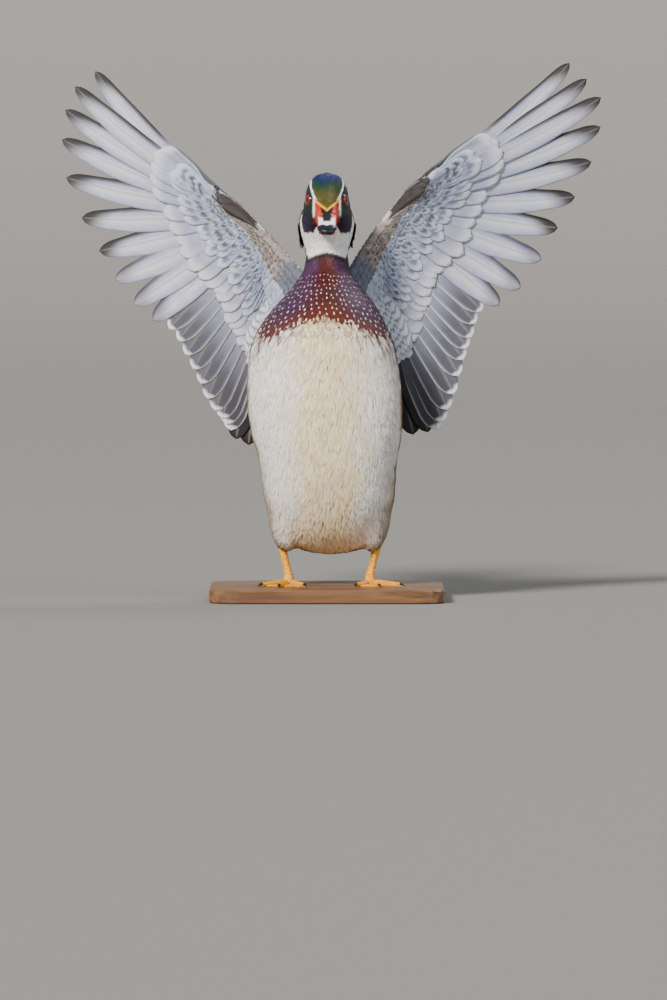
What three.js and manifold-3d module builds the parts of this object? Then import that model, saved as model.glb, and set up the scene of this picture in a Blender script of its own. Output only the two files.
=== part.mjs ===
// A male wood duck at life size, reared upright on both feet with its wings raised and spread.
// Millimetres, +Z up. The bird faces -Y and its left wing is on the +X side. The origin is
// the centre of the base's underside. Heights of the bird are measured from its soles.
import * as THREE from 'three';
import { mergeVertices } from 'three/addons/utils/BufferGeometryUtils.js';
import Module from 'manifold-3d';

const wasm = await Module();
wasm.setup();

// Driving sizes of the base and of the gaps between neighbouring pieces.
const GAP = 0.3;
const WELD = 0.01;
const BASE_WIDTH = 200;
const BASE_DEPTH = 190;
const BASE_THICKNESS = 12;
const BASE_CORNER = 24;
const BASE_CHAMFER = 1.5;

// Driving heights above the soles.
const CROWN = 353;
const EYE_HEIGHT = 329;
const NECK_TOP = 284;
const NECK_FOOT = 254;
const VENT = 25;

// Feathers as solid vanes.
const VANE_THICKNESS = 0.5;
const SHINGLE_STEP = 0.9;
const TIER_STEP = 3.2;
const FLATTEST_PITCH = 5;

const COLOURS = {
  green: 0x1d4a3c,
  chestnut: 0x5a1f26,
  belly: 0xe9dfc8,
  bill: 0xc8381c,
  eye: 0xb01010,
  wing: 0xa9abb8,
  tail: 0x1f2a2a,
  leg: 0xd9a13a,
  wood: 0x8a6a48,
};

function material(colour, roughness) {
  return new THREE.MeshStandardMaterial({ color: colour, roughness, metalness: 0 });
}

// A smooth curve through [at, value] knots that never overshoots them.
function profile(knots) {
  const rise = (a, b) => (b[1] - a[1]) / (b[0] - a[0]);
  const slopes = knots.map((knot, k) => {
    const before = k > 0 ? rise(knots[k - 1], knot) : null;
    const after = k < knots.length - 1 ? rise(knot, knots[k + 1]) : null;
    if (before === null) return after;
    if (after === null) return before;
    return before * after > 0 ? (2 * before * after) / (before + after) : 0;
  });
  return (at) => {
    let k = 0;
    while (k < knots.length - 2 && at > knots[k + 1][0]) k += 1;
    const [x0, y0] = knots[k];
    const [x1, y1] = knots[k + 1];
    const span = x1 - x0;
    const t = THREE.MathUtils.clamp((at - x0) / span, 0, 1);
    const s = 1 - t;
    return y0 * s * s * (1 + 2 * t) + y1 * t * t * (3 - 2 * t)
      + slopes[k] * span * t * s * s - slopes[k + 1] * span * t * t * s;
  };
}

const lerp = THREE.MathUtils.lerp;
const radians = THREE.MathUtils.degToRad;
const point = (x, y, z) => new THREE.Vector3(x, y, z);

// A closed mesh through rings of equal point counts, each end shut by a fan.
function loft(rings) {
  const count = rings[0].length;
  const vertices = rings.flat();
  const index = [];
  for (let r = 0; r < rings.length - 1; r += 1) {
    for (let k = 0; k < count; k += 1) {
      const a = r * count + k;
      const b = r * count + ((k + 1) % count);
      index.push(a, b, a + count, b, b + count, a + count);
    }
  }
  const middle = (ring) => ring.reduce((sum, p) => sum.add(p), point(0, 0, 0)).divideScalar(count);
  const first = vertices.length;
  vertices.push(middle(rings[0]), middle(rings[rings.length - 1]));
  const top = (rings.length - 1) * count;
  for (let k = 0; k < count; k += 1) {
    const next = (k + 1) % count;
    index.push(first, next, k);
    index.push(first + 1, top + k, top + next);
  }
  const geometry = new THREE.BufferGeometry().setFromPoints(vertices);
  geometry.setIndex(index);
  return geometry;
}

// Turns a closed geometry into a solid, facing outwards whichever way it was wound.
function solid(geometry) {
  const bare = geometry.clone();
  bare.deleteAttribute('normal');
  bare.deleteAttribute('uv');
  const merged = mergeVertices(bare, 1e-4);
  const vertProperties = new Float32Array(merged.attributes.position.array);
  const triVerts = new Uint32Array(merged.index.array);
  const corner = (k) => point().fromArray(vertProperties, 3 * triVerts[k]);
  let volume = 0;
  for (let k = 0; k < triVerts.length; k += 3) {
    volume += corner(k).dot(corner(k + 1).cross(corner(k + 2)));
  }
  if (volume < 0) {
    for (let k = 0; k < triVerts.length; k += 3) {
      [triVerts[k], triVerts[k + 1]] = [triVerts[k + 1], triVerts[k]];
    }
  }
  return new wasm.Manifold(new wasm.Mesh({ numProp: 3, vertProperties, triVerts }));
}

function fuse(pieces) {
  return pieces.reduce((whole, piece) => whole.add(piece));
}

// Welds corners that lie closer than a hair, and drops the slivers that close up by it.
function weld(body) {
  const data = body.getMesh();
  const geometry = new THREE.BufferGeometry();
  geometry.setAttribute('position', new THREE.BufferAttribute(data.vertProperties, 3));
  geometry.setIndex(new THREE.BufferAttribute(data.triVerts, 1));
  const merged = mergeVertices(geometry, WELD);
  const faces = new Map();
  const corners = merged.index.array;
  for (let k = 0; k < corners.length; k += 3) {
    const [a, b, c] = corners.slice(k, k + 3);
    if (a === b || b === c || c === a) continue;
    const key = [a, b, c].sort((x, y) => x - y).join();
    if (faces.has(key)) faces.delete(key);
    else faces.set(key, [a, b, c]);
  }
  merged.setIndex([...faces.values()].flat());
  return solid(merged);
}

// The largest closed surface of a solid, as a named mesh.
function meshOf(name, body, finish) {
  const largest = body.decompose().reduce((best, part) => (part.volume() > best.volume() ? part : best));
  const data = weld(largest).getMesh();
  const geometry = new THREE.BufferGeometry();
  geometry.setAttribute('position', new THREE.BufferAttribute(data.vertProperties, 3));
  geometry.setIndex(new THREE.BufferAttribute(data.triVerts, 1));
  geometry.computeVertexNormals();
  const mesh = new THREE.Mesh(geometry, finish);
  mesh.name = name;
  return mesh;
}

function ellipsoid(centre, radii, across = 16, down = 12) {
  const geometry = new THREE.SphereGeometry(1, across, down);
  geometry.scale(radii.x, radii.y, radii.z);
  geometry.translate(centre.x, centre.y, centre.z);
  return solid(geometry);
}

// The whole trunk, neck and head as one run of level sections.
const halfWidth = profile([
  [VENT, 0], [27, 17], [31, 30], [37, 41], [50, 50], [74, 56], [107, 59.4], [132, 64.8],
  [158, 66.3], [201, 62.8], [213, 58.5], [235, 46], [256, 29], [272, 19.5], [285, 18],
  [292, 20], [301, 22.6], [309.5, 23.8], [320.6, 21.2], [EYE_HEIGHT, 19.2], [338, 17.6],
  [346, 13.6], [350.5, 9], [CROWN, 0],
]);
const front = profile([
  [VENT, 14], [28, 0], [37, -16], [50, -30], [74, -45], [107, -56], [132, -60], [158, -62],
  [201, -60], [232, -52], [256, -37], [272, -24], [285, -20], [292, -22], [301, -28],
  [309.5, -33], [320.6, -35.5], [EYE_HEIGHT, -34.5], [338, -30], [346, -22.5], [350.5, -15],
  [CROWN, -6],
]);
const back = profile([
  [VENT, 14], [28, 28], [37, 42], [50, 50], [74, 54], [107, 55], [132, 54], [158, 52],
  [201, 48], [232, 42], [256, 34], [272, 28], [285, 25], [301, 27], [320.6, 27.5],
  [EYE_HEIGHT, 25.5], [338, 20], [346, 12], [350.5, 4], [CROWN, -6],
]);
const lean = profile([[VENT, 3], [107, 1], [158, -2], [213, -3.5], [256, 0], [CROWN, 0]]);
const fullness = profile([[VENT, 2], [107, 2.25], [201, 2.2], [256, 2], [CROWN, 2]]);
const SECTION_SIDES = 32;

function section(height, grow = 0) {
  const power = 2 / fullness(height);
  const wide = halfWidth(height) + grow;
  const deep = (back(height) - front(height)) / 2 + grow;
  const middle = (back(height) + front(height)) / 2;
  const ring = [];
  for (let k = 0; k < SECTION_SIDES; k += 1) {
    const turn = (2 * Math.PI * k) / SECTION_SIDES;
    const c = Math.cos(turn);
    const s = Math.sin(turn);
    ring.push(point(
      lean(height) + wide * Math.sign(c) * Math.abs(c) ** power,
      middle + deep * Math.sign(s) * Math.abs(s) ** power,
      height,
    ));
  }
  return ring;
}

function trunk(heights, grow = 0) {
  return solid(loft(heights.map((height) => section(height, grow))));
}

const TORSO_LEVELS = [25.4, 27, 30, 35, 42, 52, 66, 84, 106, 130, 155, 180, 203, 221, 238, NECK_FOOT];
const NECK_LEVELS = [NECK_FOOT + GAP, 262, 270, 277, NECK_TOP];
const HEAD_LEVELS = [
  NECK_TOP + GAP, 290, 296, 302, 308, 314, 320, 325, EYE_HEIGHT, 333, 338, 342, 346, 349, 351, 352.6,
];
const bodyEnvelope = trunk([...TORSO_LEVELS.slice(0, -1), ...NECK_LEVELS, ...HEAD_LEVELS.slice(1)], GAP);
const headEnvelope = trunk([NECK_TOP - 10, ...HEAD_LEVELS], GAP);

// Feathered thighs low on the flanks.
const THIGH = { across: 36, back: 6, height: 52, radii: point(15, 21, 24) };

function thigh(side, grow) {
  const radii = THIGH.radii.clone().addScalar(grow);
  return ellipsoid(point(side * THIGH.across + 2, THIGH.back, THIGH.height), radii, 12, 8);
}

// Legs and webbed feet.
const ANKLE = { across: 44, back: 10, height: 46 };
const TOE_ROOT = { across: 35, back: 6, height: 9 };
const SHANK_TOP_RADIUS = 4.4;
const SHANK_LOW_RADIUS = 3.3;
const TOES = [
  { turn: -27, length: 43 },
  { turn: 0, length: 53 },
  { turn: 27, length: 49 },
];
const FOOT_TURN = 9;
const TOE_WIDTH = 5.2;
const TOE_HEIGHT = 4.6;
const WEB_THICKNESS = 1.3;
const WEB_REACH = 0.8;
const WEB_HOLLOW = 0.86;
const HIND_TOE_LENGTH = 15;

function shank(side) {
  const top = point(side * ANKLE.across + 2, ANKLE.back, ANKLE.height);
  const low = point(side * TOE_ROOT.across + 2, TOE_ROOT.back, TOE_ROOT.height + GAP);
  const rings = [0, 0.2, 0.4, 0.7, 0.9, 1].map((t) => {
    const centre = top.clone().lerp(low, t);
    const joint = 1.2 * (t < 0.1 ? 1 : 0) + 0.7 * (t > 0.95 ? 1 : 0);
    const radius = lerp(SHANK_TOP_RADIUS, SHANK_LOW_RADIUS, Math.min(1, t * 1.4)) + joint;
    return roundRing(centre, radius, radius * 1.15, 10);
  });
  return solid(loft(rings));
}

function roundRing(centre, acrossRadius, alongRadius, sides) {
  return Array.from({ length: sides }, (_, k) => {
    const turn = (2 * Math.PI * k) / sides;
    return point(
      centre.x + acrossRadius * Math.cos(turn),
      centre.y + alongRadius * Math.sin(turn),
      centre.z,
    );
  });
}

// One toe lying on its sole, from its root outwards along -Y, with the claw as its end.
function toe(length, turn) {
  const rings = [[-0.03, 0.9], [0.3, 1], [0.84, 0.75], [0.92, 0.5], [1, 0.12]].map(([t, shrink]) => {
    const wide = (TOE_WIDTH / 2) * shrink;
    const tall = TOE_HEIGHT * shrink;
    return [[-0.8, 0], [0.8, 0], [1, 0.5], [0, 1], [-1, 0.5]]
      .map(([x, z]) => point(x * wide, -t * length, z * tall));
  });
  const geometry = loft(rings);
  geometry.rotateZ(radians(turn));
  return solid(geometry);
}

// The web between two toes, with a hollow front edge.
function web(first, second) {
  const reach = (t) => {
    const turn = radians(t.turn - 90);
    const far = t.length * WEB_REACH;
    return new THREE.Vector2(far * Math.cos(turn), far * Math.sin(turn));
  };
  const a = reach(first);
  const b = reach(second);
  const hollow = a.clone().add(b).multiplyScalar(0.5 * WEB_HOLLOW);
  const shape = new THREE.Shape();
  shape.moveTo(0, 1);
  shape.lineTo(a.x, a.y);
  shape.quadraticCurveTo(hollow.x, hollow.y, b.x, b.y);
  shape.closePath();
  return solid(new THREE.ExtrudeGeometry(shape, {
    depth: WEB_THICKNESS, bevelEnabled: false, curveSegments: 4,
  }));
}

function foot(side) {
  const pieces = TOES.map((t) => toe(t.length, t.turn));
  pieces.push(web(TOES[0], TOES[1]), web(TOES[1], TOES[2]));
  pieces.push(toe(HIND_TOE_LENGTH, 168));
  const instep = [0, 3, 6, TOE_ROOT.height].map((height, k) => (
    roundRing(point(0, 0.5 * k, height), [4.6, 4.8, 4.4, 4][k], [5.4, 5.4, 5, 4.6][k], 10)
  ));
  pieces.push(solid(loft(instep)));
  const turned = fuse(pieces).rotate([0, 0, side * FOOT_TURN]);
  return turned.translate([side * TOE_ROOT.across + 2, TOE_ROOT.back - 1.5, 0]);
}

// The bill: two mandibles whose meeting line is the line of the mouth.
const BILL_SIDES = 12;
const BILL_STATIONS = [
  { y: -24, half: 9.8, top: 329, low: 310.5, under: 6.5 },
  { y: -34, half: 9.9, top: 327.5, low: 308.6, under: 5.4 },
  { y: -42, half: 9.1, top: 321.5, low: 306.4, under: 4 },
  { y: -50, half: 8.4, top: 316, low: 304.8, under: 3 },
  { y: -58, half: 8.2, top: 311.4, low: 303.4, under: 2.4 },
  { y: -65, half: 7.8, top: 307.8, low: 302.2, under: 1.8 },
  { y: -69, half: 5.6, top: 305.4, low: 301.2, under: 1.4 },
  { y: -71, half: 2.6, top: 303.6, low: 300.8, under: 1 },
];
const MOUTH_GAP = 0.35;
const NOSTRIL = { across: 4.4, y: -45, height: 317.6, radii: point(1.1, 2.6, 1.5) };

function billRing(station, top, low, half) {
  return Array.from({ length: BILL_SIDES }, (_, k) => {
    const turn = (2 * Math.PI * k) / BILL_SIDES;
    const c = Math.cos(turn);
    const s = Math.sin(turn);
    const middle = (top + low) / 2;
    return point(
      half * Math.sign(c) * Math.abs(c) ** 0.75,
      station.y,
      middle + ((top - low) / 2) * Math.sign(s) * Math.abs(s) ** (s > 0 ? 1 : 0.6),
    );
  });
}

function upperBill() {
  const rings = BILL_STATIONS.map((st) => billRing(st, st.top, st.low, st.half));
  let bill = solid(loft(rings)).subtract(headEnvelope);
  for (const side of [-1, 1]) {
    const centre = point(side * NOSTRIL.across, NOSTRIL.y, NOSTRIL.height);
    bill = bill.subtract(ellipsoid(centre, NOSTRIL.radii, 10, 8));
  }
  return bill;
}

function lowerBill() {
  const rings = BILL_STATIONS.slice(0, -1).map((st) => (
    billRing(st, st.low - MOUTH_GAP, st.low - MOUTH_GAP - st.under, st.half * 0.86)
  ));
  return solid(loft(rings)).subtract(headEnvelope);
}

// Eyes, each a ball in a socket ringed by its lids.
const EYE_RADIUS = 5.6;
const EYE_SHOWS = 1.7;
const LID_RADIUS = 4.4;
const LID_THICKNESS = 0.9;
const EYE_TURN = 122;

function eyePlace(side) {
  const deep = (back(EYE_HEIGHT) - front(EYE_HEIGHT)) / 2;
  const middle = (back(EYE_HEIGHT) + front(EYE_HEIGHT)) / 2;
  const turn = radians(EYE_TURN - 90);
  const wide = halfWidth(EYE_HEIGHT);
  const skin = point(side * wide * Math.cos(turn), middle - deep * Math.sin(turn), EYE_HEIGHT);
  const out = point(side * Math.cos(turn) / wide, -Math.sin(turn) / deep, 0).normalize();
  return { skin, out, centre: skin.clone().addScaledVector(out, EYE_SHOWS - EYE_RADIUS) };
}

function eyeball(side, grow) {
  const radius = EYE_RADIUS + grow;
  return ellipsoid(eyePlace(side).centre, point(radius, radius, radius), 12, 8);
}

function lids(side) {
  const { skin, out } = eyePlace(side);
  const ring = new THREE.TorusGeometry(LID_RADIUS, LID_THICKNESS, 5, 14);
  ring.scale(1, 0.92, 1.2);
  const place = new THREE.Matrix4().lookAt(out, point(0, 0, 0), point(0, 0, 1));
  ring.applyMatrix4(place);
  ring.translate(skin.x, skin.y, skin.z);
  return solid(ring);
}

// The two wings, each told by its joints and by where its feathers end. Feathers are counted
// from the outermost primary, 0, through the secondaries, 10 to 19, to the tertials, 20 to 23.
// Spread is the angle of a tip above the level, seen from in front about the wrist. Reach is
// its distance from the wrist in that view, and set is how far it lies behind the wrist.
const RIGHT_WING = {
  side: -1,
  shoulderFront: point(12, 20, 258),
  patagium: point(36, 38, 285),
  wristFront: point(60, 41, 311),
  handFront: point(82, 46, 330),
  fingertip: point(103, 52, 343),
  handBack: point(81, 49, 318),
  wristBack: point(60, 46, 297),
  elbow: point(50, 60, 236),
  armpit: point(24, 36, 212),
  wrist: point(59, 42, 307),
  spread: profile([
    [0, 43.2], [3, 23.5], [6, -9.1], [9, -41.9], [12, -60.5], [14, -70], [17, -79.5], [20, -84],
    [23, -97],
  ]),
  reach: profile([
    [0, 195], [1, 200], [3, 186.5], [6, 140], [9, 122.5], [10, 118], [13, 136], [16, 164],
    [19, 178], [21, 189], [23, 178],
  ]),
  set: profile([[0, 88], [3, 84], [6, 60], [9, 34], [12, 24], [16, 18], [23, 14]]),
};
const LEFT_WING = {
  side: 1,
  shoulderFront: point(12, 20, 258),
  patagium: point(31, 38, 290),
  wristFront: point(54, 41, 321),
  handFront: point(74, 45, 342),
  fingertip: point(97, 50, 357),
  handBack: point(74, 48, 330),
  wristBack: point(55, 46, 307),
  elbow: point(45, 60, 244),
  armpit: point(24, 36, 214),
  wrist: point(54, 42, 316),
  spread: profile([
    [0, 40.1], [3, 22.6], [6, -4.4], [9, -39.3], [12, -56], [14, -63], [17, -73.5], [20, -80],
    [23, -94],
  ]),
  reach: profile([
    [0, 204], [2, 209.5], [3, 198], [6, 146], [9, 122.5], [10, 115], [12, 127], [14, 140],
    [17, 175], [19, 189], [21, 190], [23, 172],
  ]),
  set: profile([[0, 68], [3, 66], [6, 50], [9, 30], [12, 22], [16, 17], [23, 14]]),
};
const FEATHER_COUNT = 24;
const ROOT_STEPS = profile([[-1.5, 0], [9.5, 57], [19.5, 128], [26, 170]]);
const ROOT_RUN = 170;
const VANE_BEND = profile([[0, 9], [6, 8], [12, 6], [23, 4]]);
const TIP_SWEEP = profile([[0, 7], [5, 4], [10, 0], [23, -4]]);
const SMOOTHING = 2.5;
const CORE_THICKNESS = profile([[-1, 6], [2, 8], [10, 9], [18, 10.5], [26, 14]]);

function mirrored(wing, name) {
  const p = wing[name];
  return point(wing.side * p.x, p.y, p.z);
}

function wingSurface(wing) {
  const line = (names) => new THREE.CatmullRomCurve3(names.map((name) => mirrored(wing, name)));
  const rootLine = line(['fingertip', 'handBack', 'wristBack', 'elbow', 'armpit']);
  const frontLine = line(['fingertip', 'handFront', 'wristFront', 'patagium', 'shoulderFront']);
  const along = (n) => THREE.MathUtils.clamp(ROOT_STEPS(n) / ROOT_RUN, 0, 1);
  const wrist = mirrored(wing, 'wrist');
  const root = (n) => rootLine.getPointAt(along(n));
  const edge = (n) => frontLine.getPointAt(along(n));
  const tip = (n) => {
    const turn = radians(wing.spread(n));
    const reach = wing.reach(n);
    return point(
      wrist.x + wing.side * reach * Math.cos(turn),
      wrist.y + wing.set(n),
      wrist.z + reach * Math.sin(turn),
    );
  };
  // A point of the middle surface: n counts feathers, t runs from root, 0, to tip, 1.
  const at = (n, t) => {
    const a = root(n);
    const b = tip(n);
    const bow = t > 0 ? 4 * t * (1 - t) : 0;
    const away = b.clone().sub(a).normalize();
    const leading = point(-wing.side * away.z, 0, wing.side * away.x);
    return a.lerp(b, t)
      .addScaledVector(leading, -TIP_SWEEP(n) * bow)
      .add(point(0, VANE_BEND(n) * bow, 0));
  };
  // How far apart neighbouring feathers lie there, measured square across them.
  const spacing = (n, t, across) => {
    const [outer, inner] = [Math.max(n - 0.5, 0), Math.min(n + 0.5, FEATHER_COUNT - 1)];
    return Math.abs(at(outer, t).sub(at(inner, t)).dot(across)) / (inner - outer);
  };
  // Directions there: across towards the leading edge, and out of the underside.
  const frame = (n, t) => {
    const step = 0.02;
    const axis = at(n, t + step).sub(at(n, t - step)).normalize();
    const [outer, inner] = [Math.max(n - SMOOTHING, 0), Math.min(n + SMOOTHING, FEATHER_COUNT - 1)];
    const span = at(outer, t).sub(at(inner, t));
    const across = span.addScaledVector(axis, -span.dot(axis)).normalize();
    const normal = axis.clone().cross(across);
    if (normal.y > 0) normal.negate();
    return { axis, normal, across, pitch: Math.max(spacing(n, t, across), FLATTEST_PITCH) };
  };
  // Where feathers crowd closer than their tilt clears, each inner one sits further behind.
  const sink = (n, t) => {
    let depth = 0;
    for (let m = 0.5; m < n; m += 1) {
      const { across, pitch } = frame(m, t);
      depth += SHINGLE_STEP * Math.max(0, 1 - spacing(m, t, across) / pitch);
    }
    return depth;
  };
  return { root, edge, at, frame, sink };
}

// One vane as a thin plate of four-cornered sections, split alike on both faces.
function vane(stations) {
  const rings = stations.map(({ centre, across, normal, half, thick }) => {
    const corner = (a, b) => centre.clone()
      .addScaledVector(across, a * half)
      .addScaledVector(normal, (b * thick) / 2);
    return [corner(1, 1), corner(-1, 1), corner(-1, -1), corner(1, -1)];
  });
  const vertices = rings.flat();
  const index = [];
  for (let r = 0; r < rings.length - 1; r += 1) {
    const [a, b, c, d] = [0, 1, 2, 3].map((k) => 4 * r + k);
    const [e, f, g, h] = [4, 5, 6, 7].map((k) => 4 * r + k);
    index.push(a, b, f, a, f, e);
    index.push(b, c, g, b, g, f);
    index.push(c, d, g, d, h, g);
    index.push(d, a, e, d, e, h);
  }
  const last = vertices.length - 4;
  index.push(0, 2, 1, 0, 3, 2);
  index.push(last, last + 1, last + 2, last, last + 2, last + 3);
  const geometry = new THREE.BufferGeometry().setFromPoints(vertices);
  geometry.setIndex(index);
  return solid(geometry);
}

// A wing feather over the middle surface, lifted off it, and tilted so that each one laps the next.
function wingFeather(surface, { n, from, to, lift, outline, width, places }) {
  return vane(places.map((place) => {
    const t = lerp(from, to, place);
    const height = lift(place) - surface.sink(n, Math.max(t, 0));
    const { normal, across, pitch } = surface.frame(n, t);
    const tilt = Math.atan2(SHINGLE_STEP, pitch);
    const tilted = across.clone().multiplyScalar(Math.cos(tilt)).addScaledVector(normal, -Math.sin(tilt));
    const up = normal.clone().multiplyScalar(Math.cos(tilt)).addScaledVector(across, Math.sin(tilt));
    return {
      centre: surface.at(n, t).addScaledVector(normal, height),
      across: tilted,
      normal: up,
      half: (width / 2) * outline(place),
      thick: VANE_THICKNESS * (place > 0.97 ? 0.6 : 1),
    };
  }));
}

// The flesh of arm and hand: a flat bar from the leading edge to the roots of the flight feathers.
const CORE_SECTION = [[1, 0], [0.75, 0.85], [0, 1], [-0.8, 0.95], [-1, 0.5], [-1, -0.5], [-0.8, -0.95], [0, -1], [0.75, -0.85]];

function wingCore(surface) {
  const stations = [-1.2, 1, 4, 8, 11, 15, 19, 22, 26];
  return solid(loft(stations.map((n) => {
    const rear = surface.root(n);
    const lead = surface.edge(n);
    const { normal } = surface.frame(Math.min(n, 22), 0.05);
    const middle = lead.clone().lerp(rear, 0.5);
    const reach = lead.clone().sub(middle);
    reach.setLength(reach.length() + 3);
    return CORE_SECTION.map(([along, up]) => middle.clone()
      .addScaledVector(reach, along)
      .addScaledVector(normal, (CORE_THICKNESS(n) / 2) * up));
  })));
}

const PRIMARY_OUTLINE = profile([[0, 0.3], [0.3, 0.85], [0.6, 0.95], [0.86, 0.6], [1, 0.16]]);
const SECONDARY_OUTLINE = profile([[0, 0.25], [0.3, 0.8], [0.6, 1], [0.86, 0.9], [1, 0.4]]);
const COVERT_OUTLINE = profile([[0, 0.3], [0.45, 1], [1, 0.4]]);
const FEATHER_WIDTH = profile([[0, 17], [3, 20], [9, 24], [14, 25], [20, 27], [23, 25]]);
const COVERT_REACH = profile([[0, 0.4], [5, 0.45], [9, 0.55], [14, 0.52], [20, 0.46], [23, 0.5]]);
const GREATER_COVERTS = 12;
const MEDIAN_COVERTS = 7;
const FLAT = profile([[0, 0], [1, 0]]);
const GREATER_LIFT = profile([[0, 0.95], [1, 1]]);
const MEDIAN_LIFT = profile([[0, 1.1], [0.4, 1.8], [1, 1.85]]);

// The feathers of a wing as plans: the flight feathers, then two tiers of coverts on each face.
function featherPlans() {
  const plans = [];
  for (let n = 0; n < FEATHER_COUNT; n += 1) {
    plans.push({
      n, from: 0.005, to: 1, lift: FLAT, width: FEATHER_WIDTH(n),
      outline: n < 10 ? PRIMARY_OUTLINE : SECONDARY_OUTLINE,
      places: [0, 0.3, 0.6, 0.86, 1],
    });
  }
  for (const face of [1, -1]) {
    for (let k = 0; k < GREATER_COVERTS; k += 1) {
      const n = lerp(0.3, 22.5, k / (GREATER_COVERTS - 1));
      plans.push({
        n, from: 0.0, to: COVERT_REACH(n), lift: (place) => face * TIER_STEP * GREATER_LIFT(place),
        width: 21, outline: COVERT_OUTLINE, places: [0, 0.45, 1],
      });
    }
    for (let k = 0; k < MEDIAN_COVERTS; k += 1) {
      const n = lerp(1, 21.5, k / (MEDIAN_COVERTS - 1));
      plans.push({
        n, from: -0.05, to: COVERT_REACH(n) * 0.55, lift: (place) => face * TIER_STEP * MEDIAN_LIFT(place),
        width: 21, outline: COVERT_OUTLINE, places: [0, 0.45, 1],
      });
    }
  }
  return plans;
}

function wing(spec) {
  const surface = wingSurface(spec);
  const feathers = featherPlans().map((plan) => wingFeather(surface, plan));
  return fuse([wingCore(surface), ...feathers]).subtract(bodyEnvelope);
}

// The tail: a flat core under the rump with a fan of broad feathers, the middle pair on top.
const TAIL = { y: 44, height: 58, length: 104, slope: -14, fan: 24, feathers: 12, width: 19, step: 0.9 };
const TAIL_COVERTS = [{ lift: 2.6, length: 56, count: 4 }, { lift: -12.6, length: 50, count: 4 }];
const TAIL_OUTLINE = profile([[0, 0.4], [0.5, 0.95], [0.85, 0.85], [1, 0.4]]);

function tailVane({ turn, from, length, lift, width }) {
  const slope = radians(TAIL.slope);
  const bend = radians(turn);
  const axis = point(Math.sin(bend), Math.cos(bend) * Math.cos(slope), Math.cos(bend) * Math.sin(slope));
  const normal = point(0, -Math.sin(slope), Math.cos(slope));
  const across = axis.clone().cross(normal).normalize();
  return vane([0, 0.5, 0.85, 1].map((t) => ({
    centre: point(0, TAIL.y, TAIL.height)
      .addScaledVector(axis, from + t * length)
      .addScaledVector(normal, lift - 2.5 * Math.sin(Math.PI * t)),
    across,
    normal,
    half: (width / 2) * TAIL_OUTLINE(t),
    thick: VANE_THICKNESS,
  })));
}

function tail() {
  const vanes = [];
  const half = TAIL.feathers / 2;
  for (let k = 0; k < TAIL.feathers; k += 1) {
    const order = Math.floor(Math.abs(k - half + 0.5));
    const s = (2 * k) / (TAIL.feathers - 1) - 1;
    vanes.push({
      turn: TAIL.fan * s, from: 4, length: TAIL.length * (1 - 0.14 * s * s), width: TAIL.width,
      lift: -TAIL.step * (2 * order + (k < half ? 0 : 1)),
    });
  }
  for (const { lift, length, count } of TAIL_COVERTS) {
    for (let k = 0; k < count; k += 1) {
      const s = (2 * k) / (count - 1) - 1;
      vanes.push({
        turn: TAIL.fan * 0.8 * s, from: 2, length, width: 21,
        lift: lift - TAIL.step * (k % 2 === 0 ? 0 : 1) * Math.sign(lift),
      });
    }
  }
  const core = new THREE.SphereGeometry(1, 14, 9);
  core.scale(22, 30, 9);
  core.rotateX(radians(TAIL.slope));
  core.translate(0, TAIL.y + 8, TAIL.height - 6);
  return fuse([solid(core), ...vanes.map(tailVane)]).subtract(bodyEnvelope);
}

// The crest: long tapered vanes from the crown and nape, swept back and down in two tiers.
const CREST_TIERS = [
  { count: 5, spread: 40, start: 346, end: 281, lift: 6.5, width: 13 },
  { count: 6, spread: 62, start: 326, end: 277, lift: 3, width: 14 },
];
const CREST_OUTLINE = profile([[0, 0.5], [0.35, 1], [0.75, 0.8], [1, 0.15]]);
const CREST_RISE = profile([[0, -1], [0.2, 0.7], [0.5, 1], [1, 1.3]]);
const NAPE_HOLD = 298;

function crest() {
  const pieces = [];
  for (const tier of CREST_TIERS) {
    for (let k = 0; k < tier.count; k += 1) {
      const s = (2 * k) / (tier.count - 1) - 1;
      const turn = radians(tier.spread * s);
      pieces.push(vane([0, 0.35, 0.75, 1].map((t) => {
        const height = lerp(tier.start, tier.end + 9 * s * s, t);
        const held = Math.max(height, NAPE_HOLD);
        const off = tier.lift * CREST_RISE(t) + 0.9 * (k % 2);
        const middle = (back(held) + front(held)) / 2;
        const deep = (back(held) - front(held)) / 2 + off;
        const wide = halfWidth(held) + off;
        const outward = point(Math.sin(turn) / wide, Math.cos(turn) / deep, 0.004).normalize();
        return {
          centre: point(wide * Math.sin(turn), middle + deep * Math.cos(turn), height),
          across: point(outward.y, -outward.x, 0).normalize(),
          normal: outward,
          half: (tier.width / 2) * CREST_OUTLINE(t),
          thick: 1.1 - 0.5 * t,
        };
      })));
    }
  }
  return fuse(pieces);
}

// The base: a plain board with rounded corners and a small chamfer.
function base() {
  const x = BASE_WIDTH / 2 - BASE_CHAMFER;
  const y = BASE_DEPTH / 2 - BASE_CHAMFER;
  const r = BASE_CORNER - BASE_CHAMFER;
  const shape = new THREE.Shape();
  shape.moveTo(-x + r, -y);
  shape.lineTo(x - r, -y);
  shape.absarc(x - r, -y + r, r, -Math.PI / 2, 0);
  shape.lineTo(x, y - r);
  shape.absarc(x - r, y - r, r, 0, Math.PI / 2);
  shape.lineTo(-x + r, y);
  shape.absarc(-x + r, y - r, r, Math.PI / 2, Math.PI);
  shape.lineTo(-x, -y + r);
  shape.absarc(-x + r, -y + r, r, Math.PI, 1.5 * Math.PI);
  const geometry = new THREE.ExtrudeGeometry(shape, {
    depth: BASE_THICKNESS - 2 * BASE_CHAMFER,
    bevelEnabled: true,
    bevelThickness: BASE_CHAMFER,
    bevelSize: BASE_CHAMFER,
    bevelSegments: 1,
    curveSegments: 4,
  });
  geometry.translate(0, 0, BASE_CHAMFER);
  return solid(geometry);
}

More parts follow.
